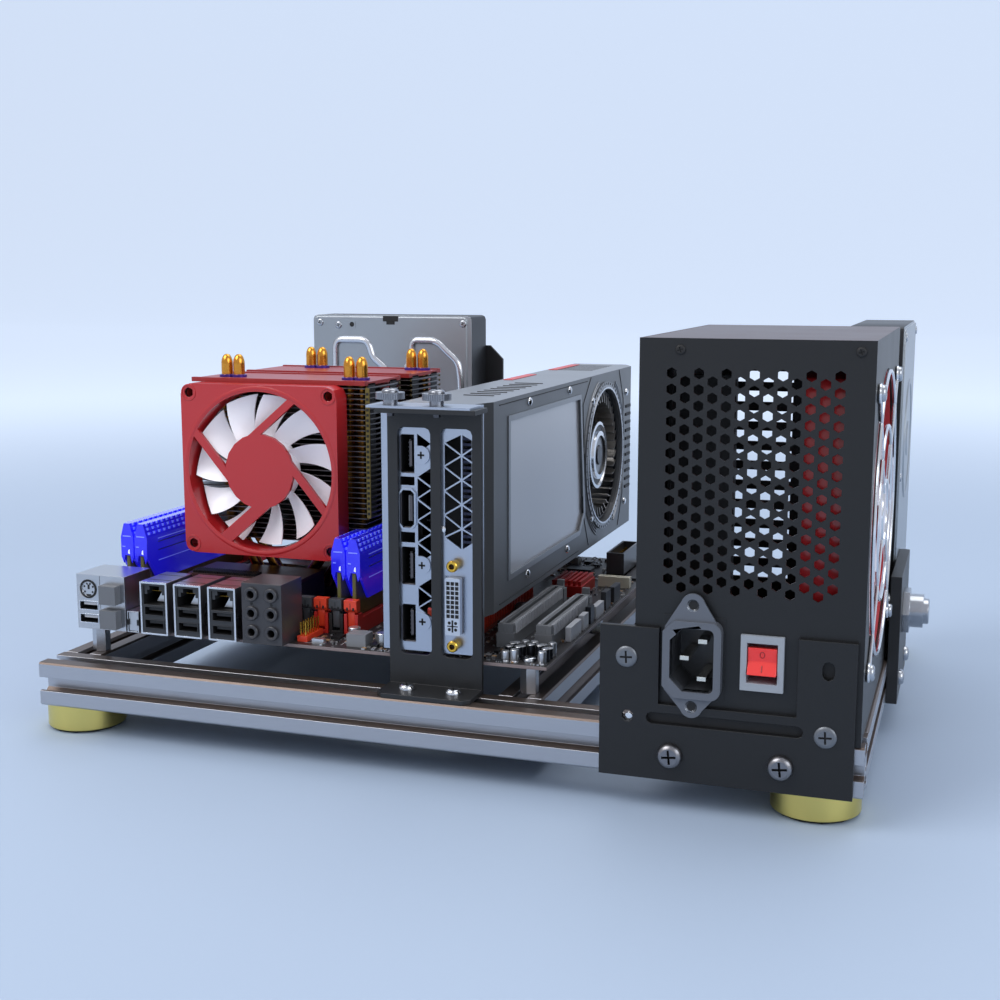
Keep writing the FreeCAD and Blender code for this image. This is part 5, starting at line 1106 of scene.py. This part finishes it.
# The round port's face and pins, rims round the openings, tongues, jack bosses and joint lines; the port's
# inside, pin holes and jack bores painted shade
def portDetails():
    details = Pile("portDetails")
    x, z = 17.7, boardTop + 18.5
    details.turned((x, portFace + 0.5, z), (0, -1, 0), [(4.4, -0.5), (4.4, 0.7), (3.4, 0.7), (3.3, 0.2),
                                                        (0.0, 0.2)], 40,
                   "recess", ["recess", "recess", "nickel", "nickel"])
    for angle in (25, 70, 110, 155, 215, 325):
        px = x + 2.45 * math.cos(math.radians(angle))
        pz = z + 2.45 * math.sin(math.radians(angle))
        details.turned((px, portFace + 0.3, pz), (0, -1, 0), [(0.5, 0.0), (0.5, 0.05), (0.0, 0.05)], 12,
                       "recess")
    details.box(x - 0.55, portFace + 0.22, z - 0.2, 1.1, 0.1, 2.2, "recess")
    details.box(x - 1.3, portFace + 0.22, z - 3.3, 2.6, 0.1, 0.8, "recess")
    for left, width, height in ((45.1, 13.6, 24.0), (62.3, 13.6, 24.0), (79.5, 13.6, 24.0)):
        outer = softRectangle(left - 0.1, boardTop - 0.05, left + width + 0.1, boardTop + height + 0.1, 0.35,
                              2)
        hole = softRectangle(left + 0.75, boardTop + 0.75, left + width - 0.75, boardTop + height - 0.75,
                             0.2, 2)
        details.plate(outer, [hole], "y", portFace - 0.5, 0.6, "chrome")
        middle, low = left + width / 2, boardTop + 13.6
        details.box(middle - 5.3, portFace + 0.6, low + 4.6, 1.6, 9.0, 4.0, "portDark")
        details.box(middle + 3.7, portFace + 0.6, low + 4.6, 1.6, 9.0, 4.0, "portDark")
        details.box(middle - 3.7, portFace + 0.6, low + 6.6, 1.2, 9.0, 2.0, "portDark")
        details.box(middle + 2.5, portFace + 0.6, low + 6.6, 1.2, 9.0, 2.0, "portDark")
        wedge = [(middle - 1.6, low + 0.6), (middle + 4.8, low + 0.6), (middle + 4.8, low + 5.6),
                 (middle + 1.4, low + 5.6)]
        details.plate(wedge, [], "y", portFace + 5.0, 0.3, "canSilver")
        for contact in range(8):
            details.box(middle - 2.5 + 0.7 * contact, portFace + 3.0, low + 5.8, 0.25, 7.0, 0.25, "gold")
        for usb in (3.0, 9.0):
            rim = softRectangle(middle - 5.0, boardTop + usb - 0.3, middle + 5.0, boardTop + usb + 3.9, 0.3,
                                2)
            gap = softRectangle(middle - 4.65, boardTop + usb + 0.05, middle + 4.65, boardTop + usb + 3.55,
                                0.2, 2)
            details.plate(rim, [gap], "y", portFace - 0.35, 0.4, "portDark")
    for usb in (3.0, 9.0):
        rim = softRectangle(12.6, boardTop + usb - 0.4, 22.8, boardTop + usb + 4.0, 0.3, 2)
        gap = softRectangle(13.05, boardTop + usb + 0.05, 22.35, boardTop + usb + 3.55, 0.2, 2)
        details.plate(rim, [gap], "y", portFace - 0.2, 0.22, "chrome")
    details.box(38.2, portFace + 0.5, boardTop + 0.7, 4.6, 0.5, 8.4, "nickel")
    details.box(37.6, portFace - 0.15, boardTop + 3.4, 0.9, 0.2, 2.6, "recess")
    details.box(42.6, portFace - 0.15, boardTop + 3.4, 0.9, 0.2, 2.6, "recess")
    for column in (-4.8, 4.8):
        for row in range(3):
            jx, jz = 105.8 + column, boardTop + 5.4 + 8.4 * row
            boss = [(1.75, 0.0), (1.75, 1.1), (2.1, 1.3), (2.9, 1.3), (3.2, 1.0), (3.2, -0.1)]
            details.turned((jx, portFace, jz), (0, -1, 0), boss, 28, "audioGrey")
        details.turned((105.8 + column, portFace, boardTop + 18.0), (0, -1, 0), [(0.7, 0.02), (0.0, 0.02)],
                       12, "recess")
    details.box(23.75, portFace - 0.04, boardTop + 0.4, 0.25, 0.1, 24.4, "recess")
    for y in (20.0, 30.0):
        details.box(45.6, y, boardTop + 24.0, 12.6, 0.3, 0.12, "recess")
        details.box(62.8, y, boardTop + 24.0, 12.6, 0.3, 0.12, "recess")
        details.box(80.0, y, boardTop + 24.0, 12.6, 0.3, 0.12, "recess")
    return details.finish(bevel=0.05)


portSinkSizes = {"left": 44.0, "front": 57.0, "width": 58.5, "depth": 27.0, "foot": 5.0, "body": 18.0,
                 "coverLevel": 17.6, "cover": 1.9, "pitch": 1.3, "tooth": 0.6, "frontTeeth": 45,
                 "topTeeth": 26}


# The low heat sink behind the ports: a closed top over a fine comb along its front
def portSink():
    sink = Pile("portSink")
    size = portSinkSizes
    left, front, width, depth = size["left"], size["front"], size["width"], size["depth"]
    foot, pitch, tooth = size["foot"], size["pitch"], size["tooth"]
    sink.box(left, front + 3.5, boardTop, width, depth - 3.5, size["body"], "darkSink")
    sink.box(left, front, boardTop, width, depth, foot, "darkSink")
    sink.box(left, front, boardTop + size["coverLevel"], width, depth, size["cover"], "sinkTop")
    for step in range(size["frontTeeth"]):
        sink.box(left + pitch * step, front + 0.1, boardTop + foot, tooth, 3.6, 12.6, "darkSink")
    for step in range(size["topTeeth"]):
        sink.box(left + 2.0 + pitch * step, front + 1.0, boardTop + 19.5, tooth, 7.0, 1.2, "darkSink")
    return sink.finish(bevel=0.08, replaced=("port_heatsink",))


powerSocket = {"x": 212.0, "y": 201.5, "width": 9.6, "length": 36.0, "height": 12.5, "wall": 1.2}


# The cans at the board's near corner, the pin header, the main power socket and the chipset's sink
def boardBlocks():
    blocks = Pile("boardBlocks")
    for column in range(5):
        for row in range(4):
            x, y = 214.6 + 4.0 * column, 24.2 + 5.0 * row
            if math.hypot(x - 224.0, y - 28.0) < 5.4:
                continue
            tall = 5.6 if (column + row) % 3 else 4.6
            profile = [(1.75, 0.0), (1.75, 0.5), (1.6, 0.8), (1.75, 1.1), (1.75, tall - 0.3), (1.5, tall),
                       (0.0, tall - 0.1)]
            side = "darkMetal" if (column * 3 + row) % 3 else "canSilver"
            blocks.turned((x, y, boardTop), (0, 0, 1), profile, 20, side, [side] * 4 + ["canSilver"] * 2)
    blocks.box(117.6, 25.0, boardTop, 4.8, 16.0, 2.5, "latchRed")
    for i in range(2):
        for j in range(6):
            blocks.box(118.4 + 2.4 * i, 26.2 + 2.5 * j, boardTop + 2.5, 0.6, 0.6, 6.0, "gold")
    x, y, high, wall, long = (powerSocket[key] for key in ("x", "y", "height", "wall", "length"))
    for left, front, wide, deep in ((x, y, wall, long), (x + 8.4, y, wall, long), (x + wall, y, 7.2, wall),
                                    (x + wall, y + long - wall, 7.2, wall)):
        blocks.box(left, front, boardTop, wide, deep, high, "audioGrey")
    blocks.box(x, y, boardTop, powerSocket["width"], long, wall, "audioGrey")
    for i in range(2):
        for j in range(9):
            blocks.box(x + 2.0 + 4.2 * i, y + 2.2 + 4.0 * j, boardTop + 1.2, 1.0, 1.0, 8.0, "gold")
    blocks.box(197.6, 146.0, boardTop, 16.0, 26.0, 5.6, "redSink")
    for rib in range(6):
        blocks.box(198.0 + 2.7 * rib, 147.0, boardTop + 5.6, 1.5, 24.0, 2.4, "redSink")
    return blocks.finish(bevel=0.06, replaced=("board_components", "chipset_heatsink"))


# Chips, resistors, cans and headers in the free areas of the board, from a fixed seed
def boardParts():
    parts = Pile("boardParts")
    random = np.random.default_rng(11)
    taken = [(10.5, 41.5, 20.0, 37.2), (41.0, 116.5, 20.0, 37.2), (109.5, 139.8, 41.0, 147.0),
             (12.8, 43.0, 44.0, 150.0), (43.5, 103.0, 56.0, 85.0), (56.0, 109.0, 89.0, 143.0),
             (179.0, 204.0, 145.0, 191.0), (203.6, 211.6, 44.0, 180.0), (220.2, 228.2, 65.0, 184.0),
             (164.8, 172.6, 57.0, 160.0), (213.0, 232.0, 34.0, 61.0), (211.0, 222.5, 185.0, 238.0),
             (116.5, 123.5, 24.0, 42.0), (10.0, 19.0, 24.0, 33.0), (219.5, 229.0, 23.5, 33.0),
             (10.0, 19.0, 129.0, 138.0), (10.0, 19.0, 234.0, 243.0), (219.5, 229.0, 234.0, 243.0),
             (162.0, 206.0, 20.0, 24.5)]

    def free(x0, y0, x1, y1):
        return x0 > 10.8 and x1 < 232.9 and y0 > 21.3 and y1 < 245.5 and all(
            x1 < a or x0 > b or y1 < c or y0 > d for a, b, c, d in taken)

    def drop(kind, width, depth, tries):
        for _ in range(tries):
            x = random.uniform(11.0, 232.0)
            y = 21.3 + 224.0 * random.random() ** 1.35
            if random.random() < 0.5:
                wide, deep = width, depth
            else:
                wide, deep = depth, width
            if free(x, y, x + wide, y + deep):
                taken.append((x - 0.3, x + wide + 0.3, y - 0.3, y + deep + 0.3))
                kind(x, y, wide, deep)

    def chip(x, y, wide, deep):
        parts.box(x + 0.4, y + 0.4, boardTop, wide - 0.8, deep - 0.8, 1.2, "chipBlack")
        if wide > deep:
            for leg in range(int(wide / 1.0) - 1):
                parts.box(x + 0.8 + leg, y, boardTop, 0.4, deep, 0.35, "canSilver")
        else:
            for leg in range(int(deep / 1.0) - 1):
                parts.box(x, y + 0.8 + leg, boardTop, wide, 0.4, 0.35, "canSilver")

    def resistor(x, y, wide, deep):
        body = ("resistorTan", "chipBlack", "resistorGrey")[int(random.integers(0, 3))]
        parts.box(x, y, boardTop, wide, deep, 0.55, "canSilver")
        if wide > deep:
            parts.box(x + wide * 0.22, y - 0.03, boardTop, wide * 0.56, deep + 0.06, 0.62, body)
        else:
            parts.box(x - 0.03, y + deep * 0.22, boardTop, wide + 0.06, deep * 0.56, 0.62, body)

    def can(x, y, wide, deep):
        radius = min(wide, deep) / 2
        middle = (x + wide / 2, y + deep / 2)
        tall = radius * 2.0
        profile = [(radius, 0.0), (radius, 0.4), (radius * 0.92, 0.7), (radius, 1.0), (radius, tall - 0.3),
                   (radius * 0.9, tall), (0.0, tall - 0.15)]
        parts.turned((middle[0], middle[1], boardTop), (0, 0, 1), profile, 20, "canSilver")

    def coil(x, y, wide, deep):
        parts.box(x, y, boardTop, wide, deep, 3.4, "resistorGrey")
        parts.box(x + 0.8, y + 0.8, boardTop + 3.4, wide - 1.6, deep - 1.6, 0.3, "chipBlack")

    def header(x, y, wide, deep):
        colour = ("redPlastic", "blackPlastic", "creamPlastic", "paleSocket")[int(random.integers(0, 4))]
        if y < 60.0:  # none near the ports; the colour is drawn first, so that later draws stay the same
            return
        parts.box(x, y, boardTop, wide, deep, 2.4, colour)
        for i in range(max(int(wide / 2.54), 1)):
            for j in range(max(int(deep / 2.54), 1)):
                parts.box(x + 1.0 + 2.54 * i, y + 1.0 + 2.54 * j, boardTop + 2.4, 0.6, 0.6, 5.2, "gold")

    drop(chip, 14.0, 10.0, 30)
    drop(coil, 6.5, 6.5, 60)
    drop(header, 10.6, 5.4, 60)
    drop(chip, 7.0, 5.4, 90)
    drop(can, 5.4, 5.4, 120)
    drop(chip, 4.0, 3.0, 160)
    drop(resistor, 3.2, 1.6, 700)
    drop(resistor, 1.9, 1.0, 2400)
    return parts.finish(bevel=0.0)


longSockets = ((207.6, 45.0, 80.0), (224.2, 47.0, 64.0), (168.8, 58.0, 92.0))  # middle, front, length
socketHeight = 10.5
redSide = 180.0  # the card's own socket, left of this, is red


# Body and rib finish of a long socket
def socketFinishes(middle):
    return ("redBrown", "latchRed") if middle < redSide else ("paleSocket", "palePlastic")


# The card sockets: two walls with a groove between them, a floor, ribbed shoulders and a latch tail
def longSocketBodies():
    bodies = Pile("longSockets")
    for middle, front, length in longSockets:
        colour, rib = socketFinishes(middle)
        for left in (middle - 3.4, middle + 0.95):
            bodies.box(left, front, boardTop, 2.45, length, socketHeight, colour)
        for start in (front, front + length - 2.0):
            bodies.box(middle - 0.95, start, boardTop, 1.9, 2.0, socketHeight, colour)
        # Groove floor painted shade
        bodies.box(middle - 0.95, front + 2.0, boardTop, 1.9, length - 4.0, 2.5, "recess")
        tail = [(front + length, boardTop), (front + length + 6.0, boardTop),
                (front + length + 6.0, boardTop + 12.5),
                (front + length + 4.0, boardTop + 12.5), (front + length + 3.0, boardTop + 5.0),
                (front + length, boardTop + 5.0)]
        bodies.plate(tail, [], "x", middle - 1.7, 3.4, colour)
        for index in range(int((length - 6.0) / 2.2)):
            for left in (middle - 3.5, middle + 2.5):
                bodies.box(left, front + 3.0 + 2.2 * index, boardTop + 9.2, 1.0, 1.1, 1.45, rib)
    return bodies.finish(bevel=0.1, replaced=("expansion_sockets",))


# Side ribs and keys of the long sockets, end blocks, small connectors and printed lines
def boardHeaders():
    parts = Pile("boardHeaders")
    for middle, front, length in longSockets:
        colour, accent = socketFinishes(middle)
        for rib in range(int((length - 8.0) / 2.4)):
            for side in (-1, 1):
                x = middle + side * 3.4
                parts.box(min(x, x + side * 0.45), front + 4.0 + 2.4 * rib, boardTop + 5.6, 0.45, 1.2, 4.7,
                          accent)
        parts.box(middle - 3.9, front - 0.5, boardTop, 7.8, 3.4, 6.4, colour)
        parts.box(middle - 3.9, front + length - 3.0, boardTop, 7.8, 5.0, 9.6, colour)
    parts.box(184.4, 50.0, boardTop, 6.6, 88.0, 8.0, "redBrown")
    for rib in range(36):
        parts.box(184.1, 51.0 + 2.4 * rib, boardTop + 2.0, 7.2, 1.1, 6.3, "latchRed")
    parts.box(214.6, 174.5, boardTop, 16.5, 4.2, 5.5, "creamPlastic")
    # Slot in its top painted shade
    parts.box(215.4, 176.3, boardTop + 5.5, 14.9, 0.6, 0.06, "recess")
    for y, length, colour, high in ((63.0, 17.0, "palePlastic", 6.4), (84.0, 8.0, "palePlastic", 6.8),
                                    (96.0, 6.0, "darkMetal", 8.0), (106.0, 14.0, "palePlastic", 6.0),
                                    (124.0, 9.0, "audioGrey", 9.0), (140.0, 12.0, "audioGrey", 8.0)):
        parts.box(229.4, y, boardTop, 2.6, length, high, colour)
    parts.box(141.6, 24.5, boardTop, 9.0, 8.0, 5.6, "paleSocket")
    parts.box(125.2, 24.0, boardTop, 5.6, 2.4, 2.2, "canSilver")
    for x, y in ((152.0, 26.0), (156.5, 26.0)):
        parts.box(x, y, boardTop, 3.4, 9.0, 1.4, "chipBlack")
    random = np.random.default_rng(5)
    for _ in range(260):
        x, y = random.uniform(12.0, 224.0), 21.5 + 220.0 * random.random() ** 1.6
        long = random.uniform(1.0, 6.0)
        if random.random() < 0.5:
            parts.box(x, y, boardTop, long, 0.25, 0.04, "silk")
        else:
            parts.box(x, y, boardTop, 0.25, long, 0.04, "silk")
    return parts.finish()


# Fork lines and holes on the latches' heads, drawn black as painted shade, riding with each latch
def latchFaces():
    top = boardTop + 16.0
    for number in range(1, 9):
        first, front = (113.5, 41.4) if number <= 4 else (16.8, 44.4)
        x, y = first + 7.4 * ((number - 1) % 4), front
        lines = Pile("latchFace%d" % number)
        for side in (-1, 1):
            lines.box(x + side * 1.5 - 0.45, y - 0.06, top - 4.6, 0.9, 0.12, 1.4, "recess")
        lines.box(x - 0.15, y - 0.05, top - 4.2, 0.3, 0.1, 3.0, "recess")
        lines.finish(body="memory_latch_%d_body" % number)


portDetails()
portSink()
boardBlocks()
boardParts()
longSocketBodies()
boardHeaders()
latchFaces()

print("stage: drives and memory")


# Ridges pressed into the lids, screws and holes at their edges, and the notch in the top; the hole and the
# notch painted shade
def driveDetails():
    details = Pile("driveDetails")
    face = 256.0
    first = [(26, 96), (29, 118), (29, 134.4), (50.0, 134.4), (53, 124), (59, 119.7), (66, 112), (66, 60),
             (40, 40)]
    second = [(72, 60), (72, 112), (78.5, 126), (78.5, 134.5), (94, 134.5), (100.5, 128.1), (107.4, 122.4),
              (109, 112),
              (109, 60), (100, 40)]
    for line in (first, second):
        route = roundedRoute([(x, face + 0.5, z) for x, z in line], 5.0, 5)
        details.tube(route, 2.2, 12, "driveRidge")
    for x, z in ((19.0, 144.5), (31.1, 143.0), (110.5, 144.5), (19.0, 8.0), (110.5, 8.0), (110.5, 78.0),
                 (19.0, 78.0)):
        details.screw((x, face, z), (0, -1, 0), 2.1, 0.6, "steel", 0.2)
    details.plate(softRectangle(37.6, 141.2, 42.2, 145.8, 0.8), [circlePoints(39.9, 143.5, 1.5, 16)], "y",
                  face - 0.25, 0.25, "driveMetal")
    details.turned((39.9, face, 143.5), (0, -1, 0), [(1.5, 0.05), (0.0, 0.05)], 16, "recess")
    details.box(60.0, face - 0.2, 145.4, 9.7, 0.6, 3.2, "recess")
    details.box(62.2, face - 0.2, 143.6, 5.3, 0.6, 2.0, "recess")
    lid = 363.0
    ring = [(30.0, 0.0), (29.5, 0.6), (27.5, 0.6), (27.0, 0.1), (9.0, 0.1), (8.5, 0.6), (0.0, 0.6)]
    details.turned((lid, 214.0, 92.0), (1, 0, 0), ring, 48, "driveMetal")
    for y, z in ((170.0, 8.0), (170.0, 78.0), (170.0, 144.0), (262.0, 8.0), (262.0, 144.0)):
        details.screw((lid, y, z), (1, 0, 0), 2.1, 0.6, "steel", 0.2)
    return details.finish(bevel=0.05)


memoryModules = ((128.3, 42.0), (135.7, 42.0), (16.8, 45.0), (24.2, 45.0))  # middle, front of its socket
coverSizes = {"low": 15.0, "length": 97.0, "half": 3.4, "sheet": 1.2, "shoulder": 36.5, "ridge": 43.0,
              "teeth": 43, "toothPitch": 2.2}


# Glossy module covers: side shells cut away at their near end, folded shoulders, teeth along the ridge;
# painted highlight and shade stripes down the shells, lit and plain teeth, painted highlights and a painted
# glint on the end cap
def spreaderCovers():
    covers = Pile("memoryCovers")
    low, length, sheet = boardTop + coverSizes["low"], coverSizes["length"], coverSizes["sheet"]
    shoulder, crest = boardTop + coverSizes["shoulder"], boardTop + coverSizes["ridge"]
    half = coverSizes["half"]
    for x, front in memoryModules:
        near = front + 4.0
        far = near + length
        covers.box(x - 0.9, near + 0.1, low - 1.0, 1.8, length - 0.2, 20.0, "moduleOlive")
        for side in (-1, 1):
            outer = x + side * half
            shell = [(near, shoulder), (near, low + 11.5), (near + 1.6, low + 9.0), (near + 8.0, low),
                     (far, low), (far, shoulder)]
            covers.plate(shell, [], "x", min(outer, outer - side * sheet), sheet, "spreaderBlue")
            ridge = [(outer, near, shoulder), (outer, far, shoulder),
                     (x + side * 1.5, far, crest), (x + side * 1.5, near, crest),
                     (outer - side * 1.2, near, boardTop + 36.0), (outer - side * 1.2, far, boardTop + 36.0),
                     (x + side * 0.6, far, boardTop + 42.0), (x + side * 0.6, near, boardTop + 42.0)]
            covers.add(ridge, [(0, 1, 2, 3), (7, 6, 5, 4), (0, 3, 7, 4), (1, 5, 6, 2), (3, 2, 6, 7),
                               (0, 4, 5, 1)],
                       "spreaderBlue")
            for index in range(coverSizes["teeth"]):
                y = near + 1.4 + index * coverSizes["toothPitch"]
                for level, reach in ((37.6, 3.1), (39.8, 2.4), (41.8, 1.8)):
                    # Teeth alternate painted highlight and plain blue
                    shade = "spreaderBright" if (index + int(level)) % 2 else "spreaderBlue"
                    covers.box(x + side * reach - 0.4, y, boardTop + level, 0.8, 1.2, 1.2, shade)
            # Stripes along the shell: painted highlights and painted shade
            for height, finish in ((34.6, "spreaderBright"), (33.0, "spreaderDark"), (29.0, "spreaderDark"),
                                   (24.0, "spreaderBright")):
                covers.box(outer - 0.05 if side > 0 else outer - 0.15, near + 9.0, boardTop + height, 0.2,
                           length - 12.0,
                           0.45, finish)
        cap = [(x - half, shoulder), (x - 1.5, crest), (x + 1.5, crest),
               (x + half, shoulder), (x + half, low + 12.0), (x + 2.2, low + 8.8), (x + 1.3, low + 12.6),
               (x - 1.3, low + 12.6), (x - 2.2, low + 8.8), (x - half, low + 12.0)]
        covers.plate(cap, [], "y", near - 0.6, 0.8, "spreaderBlue")
        # Painted highlights and a painted glint on the end cap
        covers.box(x - 2.2, near - 0.75, boardTop + 36.6, 4.4, 0.2, 0.5, "spreaderBright")
        covers.box(x - 2.6, near - 0.75, boardTop + 31.6, 1.6, 0.2, 0.5, "spreaderBright")
        glint = [(x + 0.3, boardTop + 28.6), (x + 1.3, boardTop + 28.2), (x + 1.2, boardTop + 30.6),
                 (x + 0.6, boardTop + 30.2)]
        covers.plate(glint, [], "y", near - 0.75, 0.2, "spreaderShine")
        covers.box(x - 1.5, near, boardTop + 42.6, 3.0, length, 0.4, "spreaderBlue")
    return covers.finish(bevel=0.2, replaced=("memory_spreaders",))


driveDetails()
spreaderCovers()

print("stage: camera, floor and light")
# The photograph's camera, placed from the power supply's lower front corner
cameraPlace = {"right": 120.54, "front": 515.43, "above": 173.62, "tilt": 80.832, "turn": 18.813,
               "lens": 50.60,
               "sensor": 36.0, "nearest": 0.01, "farthest": 50.0}
camera = bpy.data.objects.new("camera", bpy.data.cameras.new("camera"))
bpy.context.scene.collection.objects.link(camera)
camera.data.lens = cameraPlace["lens"]
camera.data.sensor_width = cameraPlace["sensor"]
camera.location = spot(powerCorner.x + cameraPlace["right"], -cameraPlace["front"], cameraPlace["above"])
camera.rotation_euler = (math.radians(cameraPlace["tilt"]), 0.0, math.radians(cameraPlace["turn"]))
camera.data.clip_start = cameraPlace["nearest"]
camera.data.clip_end = cameraPlace["farthest"]
bpy.context.scene.camera = camera


floorLook = {"plainWithin": 0.45, "brightBeyond": 1.9, "brightness": 0.5, "brightColour": (234, 243, 255)}


# A pale floor that sweeps up into a backdrop far behind
def floorSheet():
    across = np.linspace(-6.0, 6.0, 25)
    depth = np.concatenate([np.linspace(-3.0, 4.0, 15), 4.0 + 2.0 * np.sin(np.linspace(0.1, math.pi / 2, 12)),
                            np.full(4, 6.0)])
    height = np.concatenate([np.zeros(15), 2.0 - 2.0 * np.cos(np.linspace(0.1, math.pi / 2, 12)),
                             np.array([3.0, 4.0, 5.0, 6.0])])
    vertices = [(x, y, z) for y, z in zip(depth, height) for x in across]
    faces = []
    width = len(across)
    for row in range(len(depth) - 1):
        for column in range(width - 1):
            start = row * width + column
            faces.append((start, start + 1, start + width + 1, start + width))
    mesh = bpy.data.meshes.new("floor")
    mesh.from_pydata(vertices, [], faces)
    mesh.shade_smooth()
    floor = bpy.data.objects.new("floor", mesh)
    bpy.context.scene.collection.objects.link(floor)
    material = surface("floorPale", {"colour": (158, 174, 195), "gloss": 0.6})
    nodes, links = material.node_tree.nodes, material.node_tree.links
    shader = nodes["Principled BSDF"]
    place = nodes.new("ShaderNodeTexCoord")
    reach = nodes.new("ShaderNodeVectorMath")
    reach.operation = "LENGTH"
    fade = nodes.new("ShaderNodeMapRange")
    fade.interpolation_type = "SMOOTHSTEP"
    fade.inputs["From Min"].default_value = floorLook["plainWithin"]
    fade.inputs["From Max"].default_value = floorLook["brightBeyond"]
    fade.inputs["To Max"].default_value = floorLook["brightness"]
    links.new(place.outputs["Object"], reach.inputs[0])
    links.new(reach.outputs["Value"], fade.inputs["Value"])
    links.new(fade.outputs["Result"], shader.inputs["Emission Strength"])
    shader.inputs["Emission Color"].default_value = srgb(*floorLook["brightColour"])
    floor.data.materials.append(material)
    return floor


floorSheet()


def areaLight(name, place, target, size, power, colour):
    light = bpy.data.objects.new(name, bpy.data.lights.new(name, "AREA"))
    bpy.context.scene.collection.objects.link(light)
    light.data.shape = "RECTANGLE"
    light.data.size, light.data.size_y = size
    light.data.energy = power
    light.data.color = colour
    light.location = place
    direction = Vector(target) - Vector(place)
    light.rotation_euler = direction.to_track_quat("-Z", "Y").to_euler()
    return light


lamps = {
    "keyLight": {"place": (-0.9, -1.0, 1.5), "target": (0.0, 0.0, 0.08), "size": (1.2, 1.2), "power": 22.0,
                 "colour": (1.0, 0.98, 0.96)},
    "fillLight": {"place": (1.6, -0.9, 0.9), "target": (0.05, 0.0, 0.08), "size": (1.4, 1.0), "power": 12.0,
                  "colour": (0.92, 0.96, 1.0)},
    "topLight": {"place": (0.2, 0.6, 1.9), "target": (0.0, 0.0, 0.05), "size": (1.8, 1.4), "power": 18.0,
                 "colour": (1.0, 1.0, 1.0)},
}
for name, settings in lamps.items():
    areaLight(name, **settings)

studio = {"colour": (220, 224, 234), "strength": 0.85, "samples": 48}
world = bpy.data.worlds.new("studio")
bpy.context.scene.world = world
world.use_nodes = True
background = world.node_tree.nodes["Background"]
background.inputs["Color"].default_value = srgb(*studio["colour"])
background.inputs["Strength"].default_value = studio["strength"]

scene = bpy.context.scene
scene.view_settings.view_transform = "Standard"
scene.view_settings.look = "None"
scene.render.engine = "CYCLES"
scene.cycles.samples = studio["samples"]

print("stage: finish")
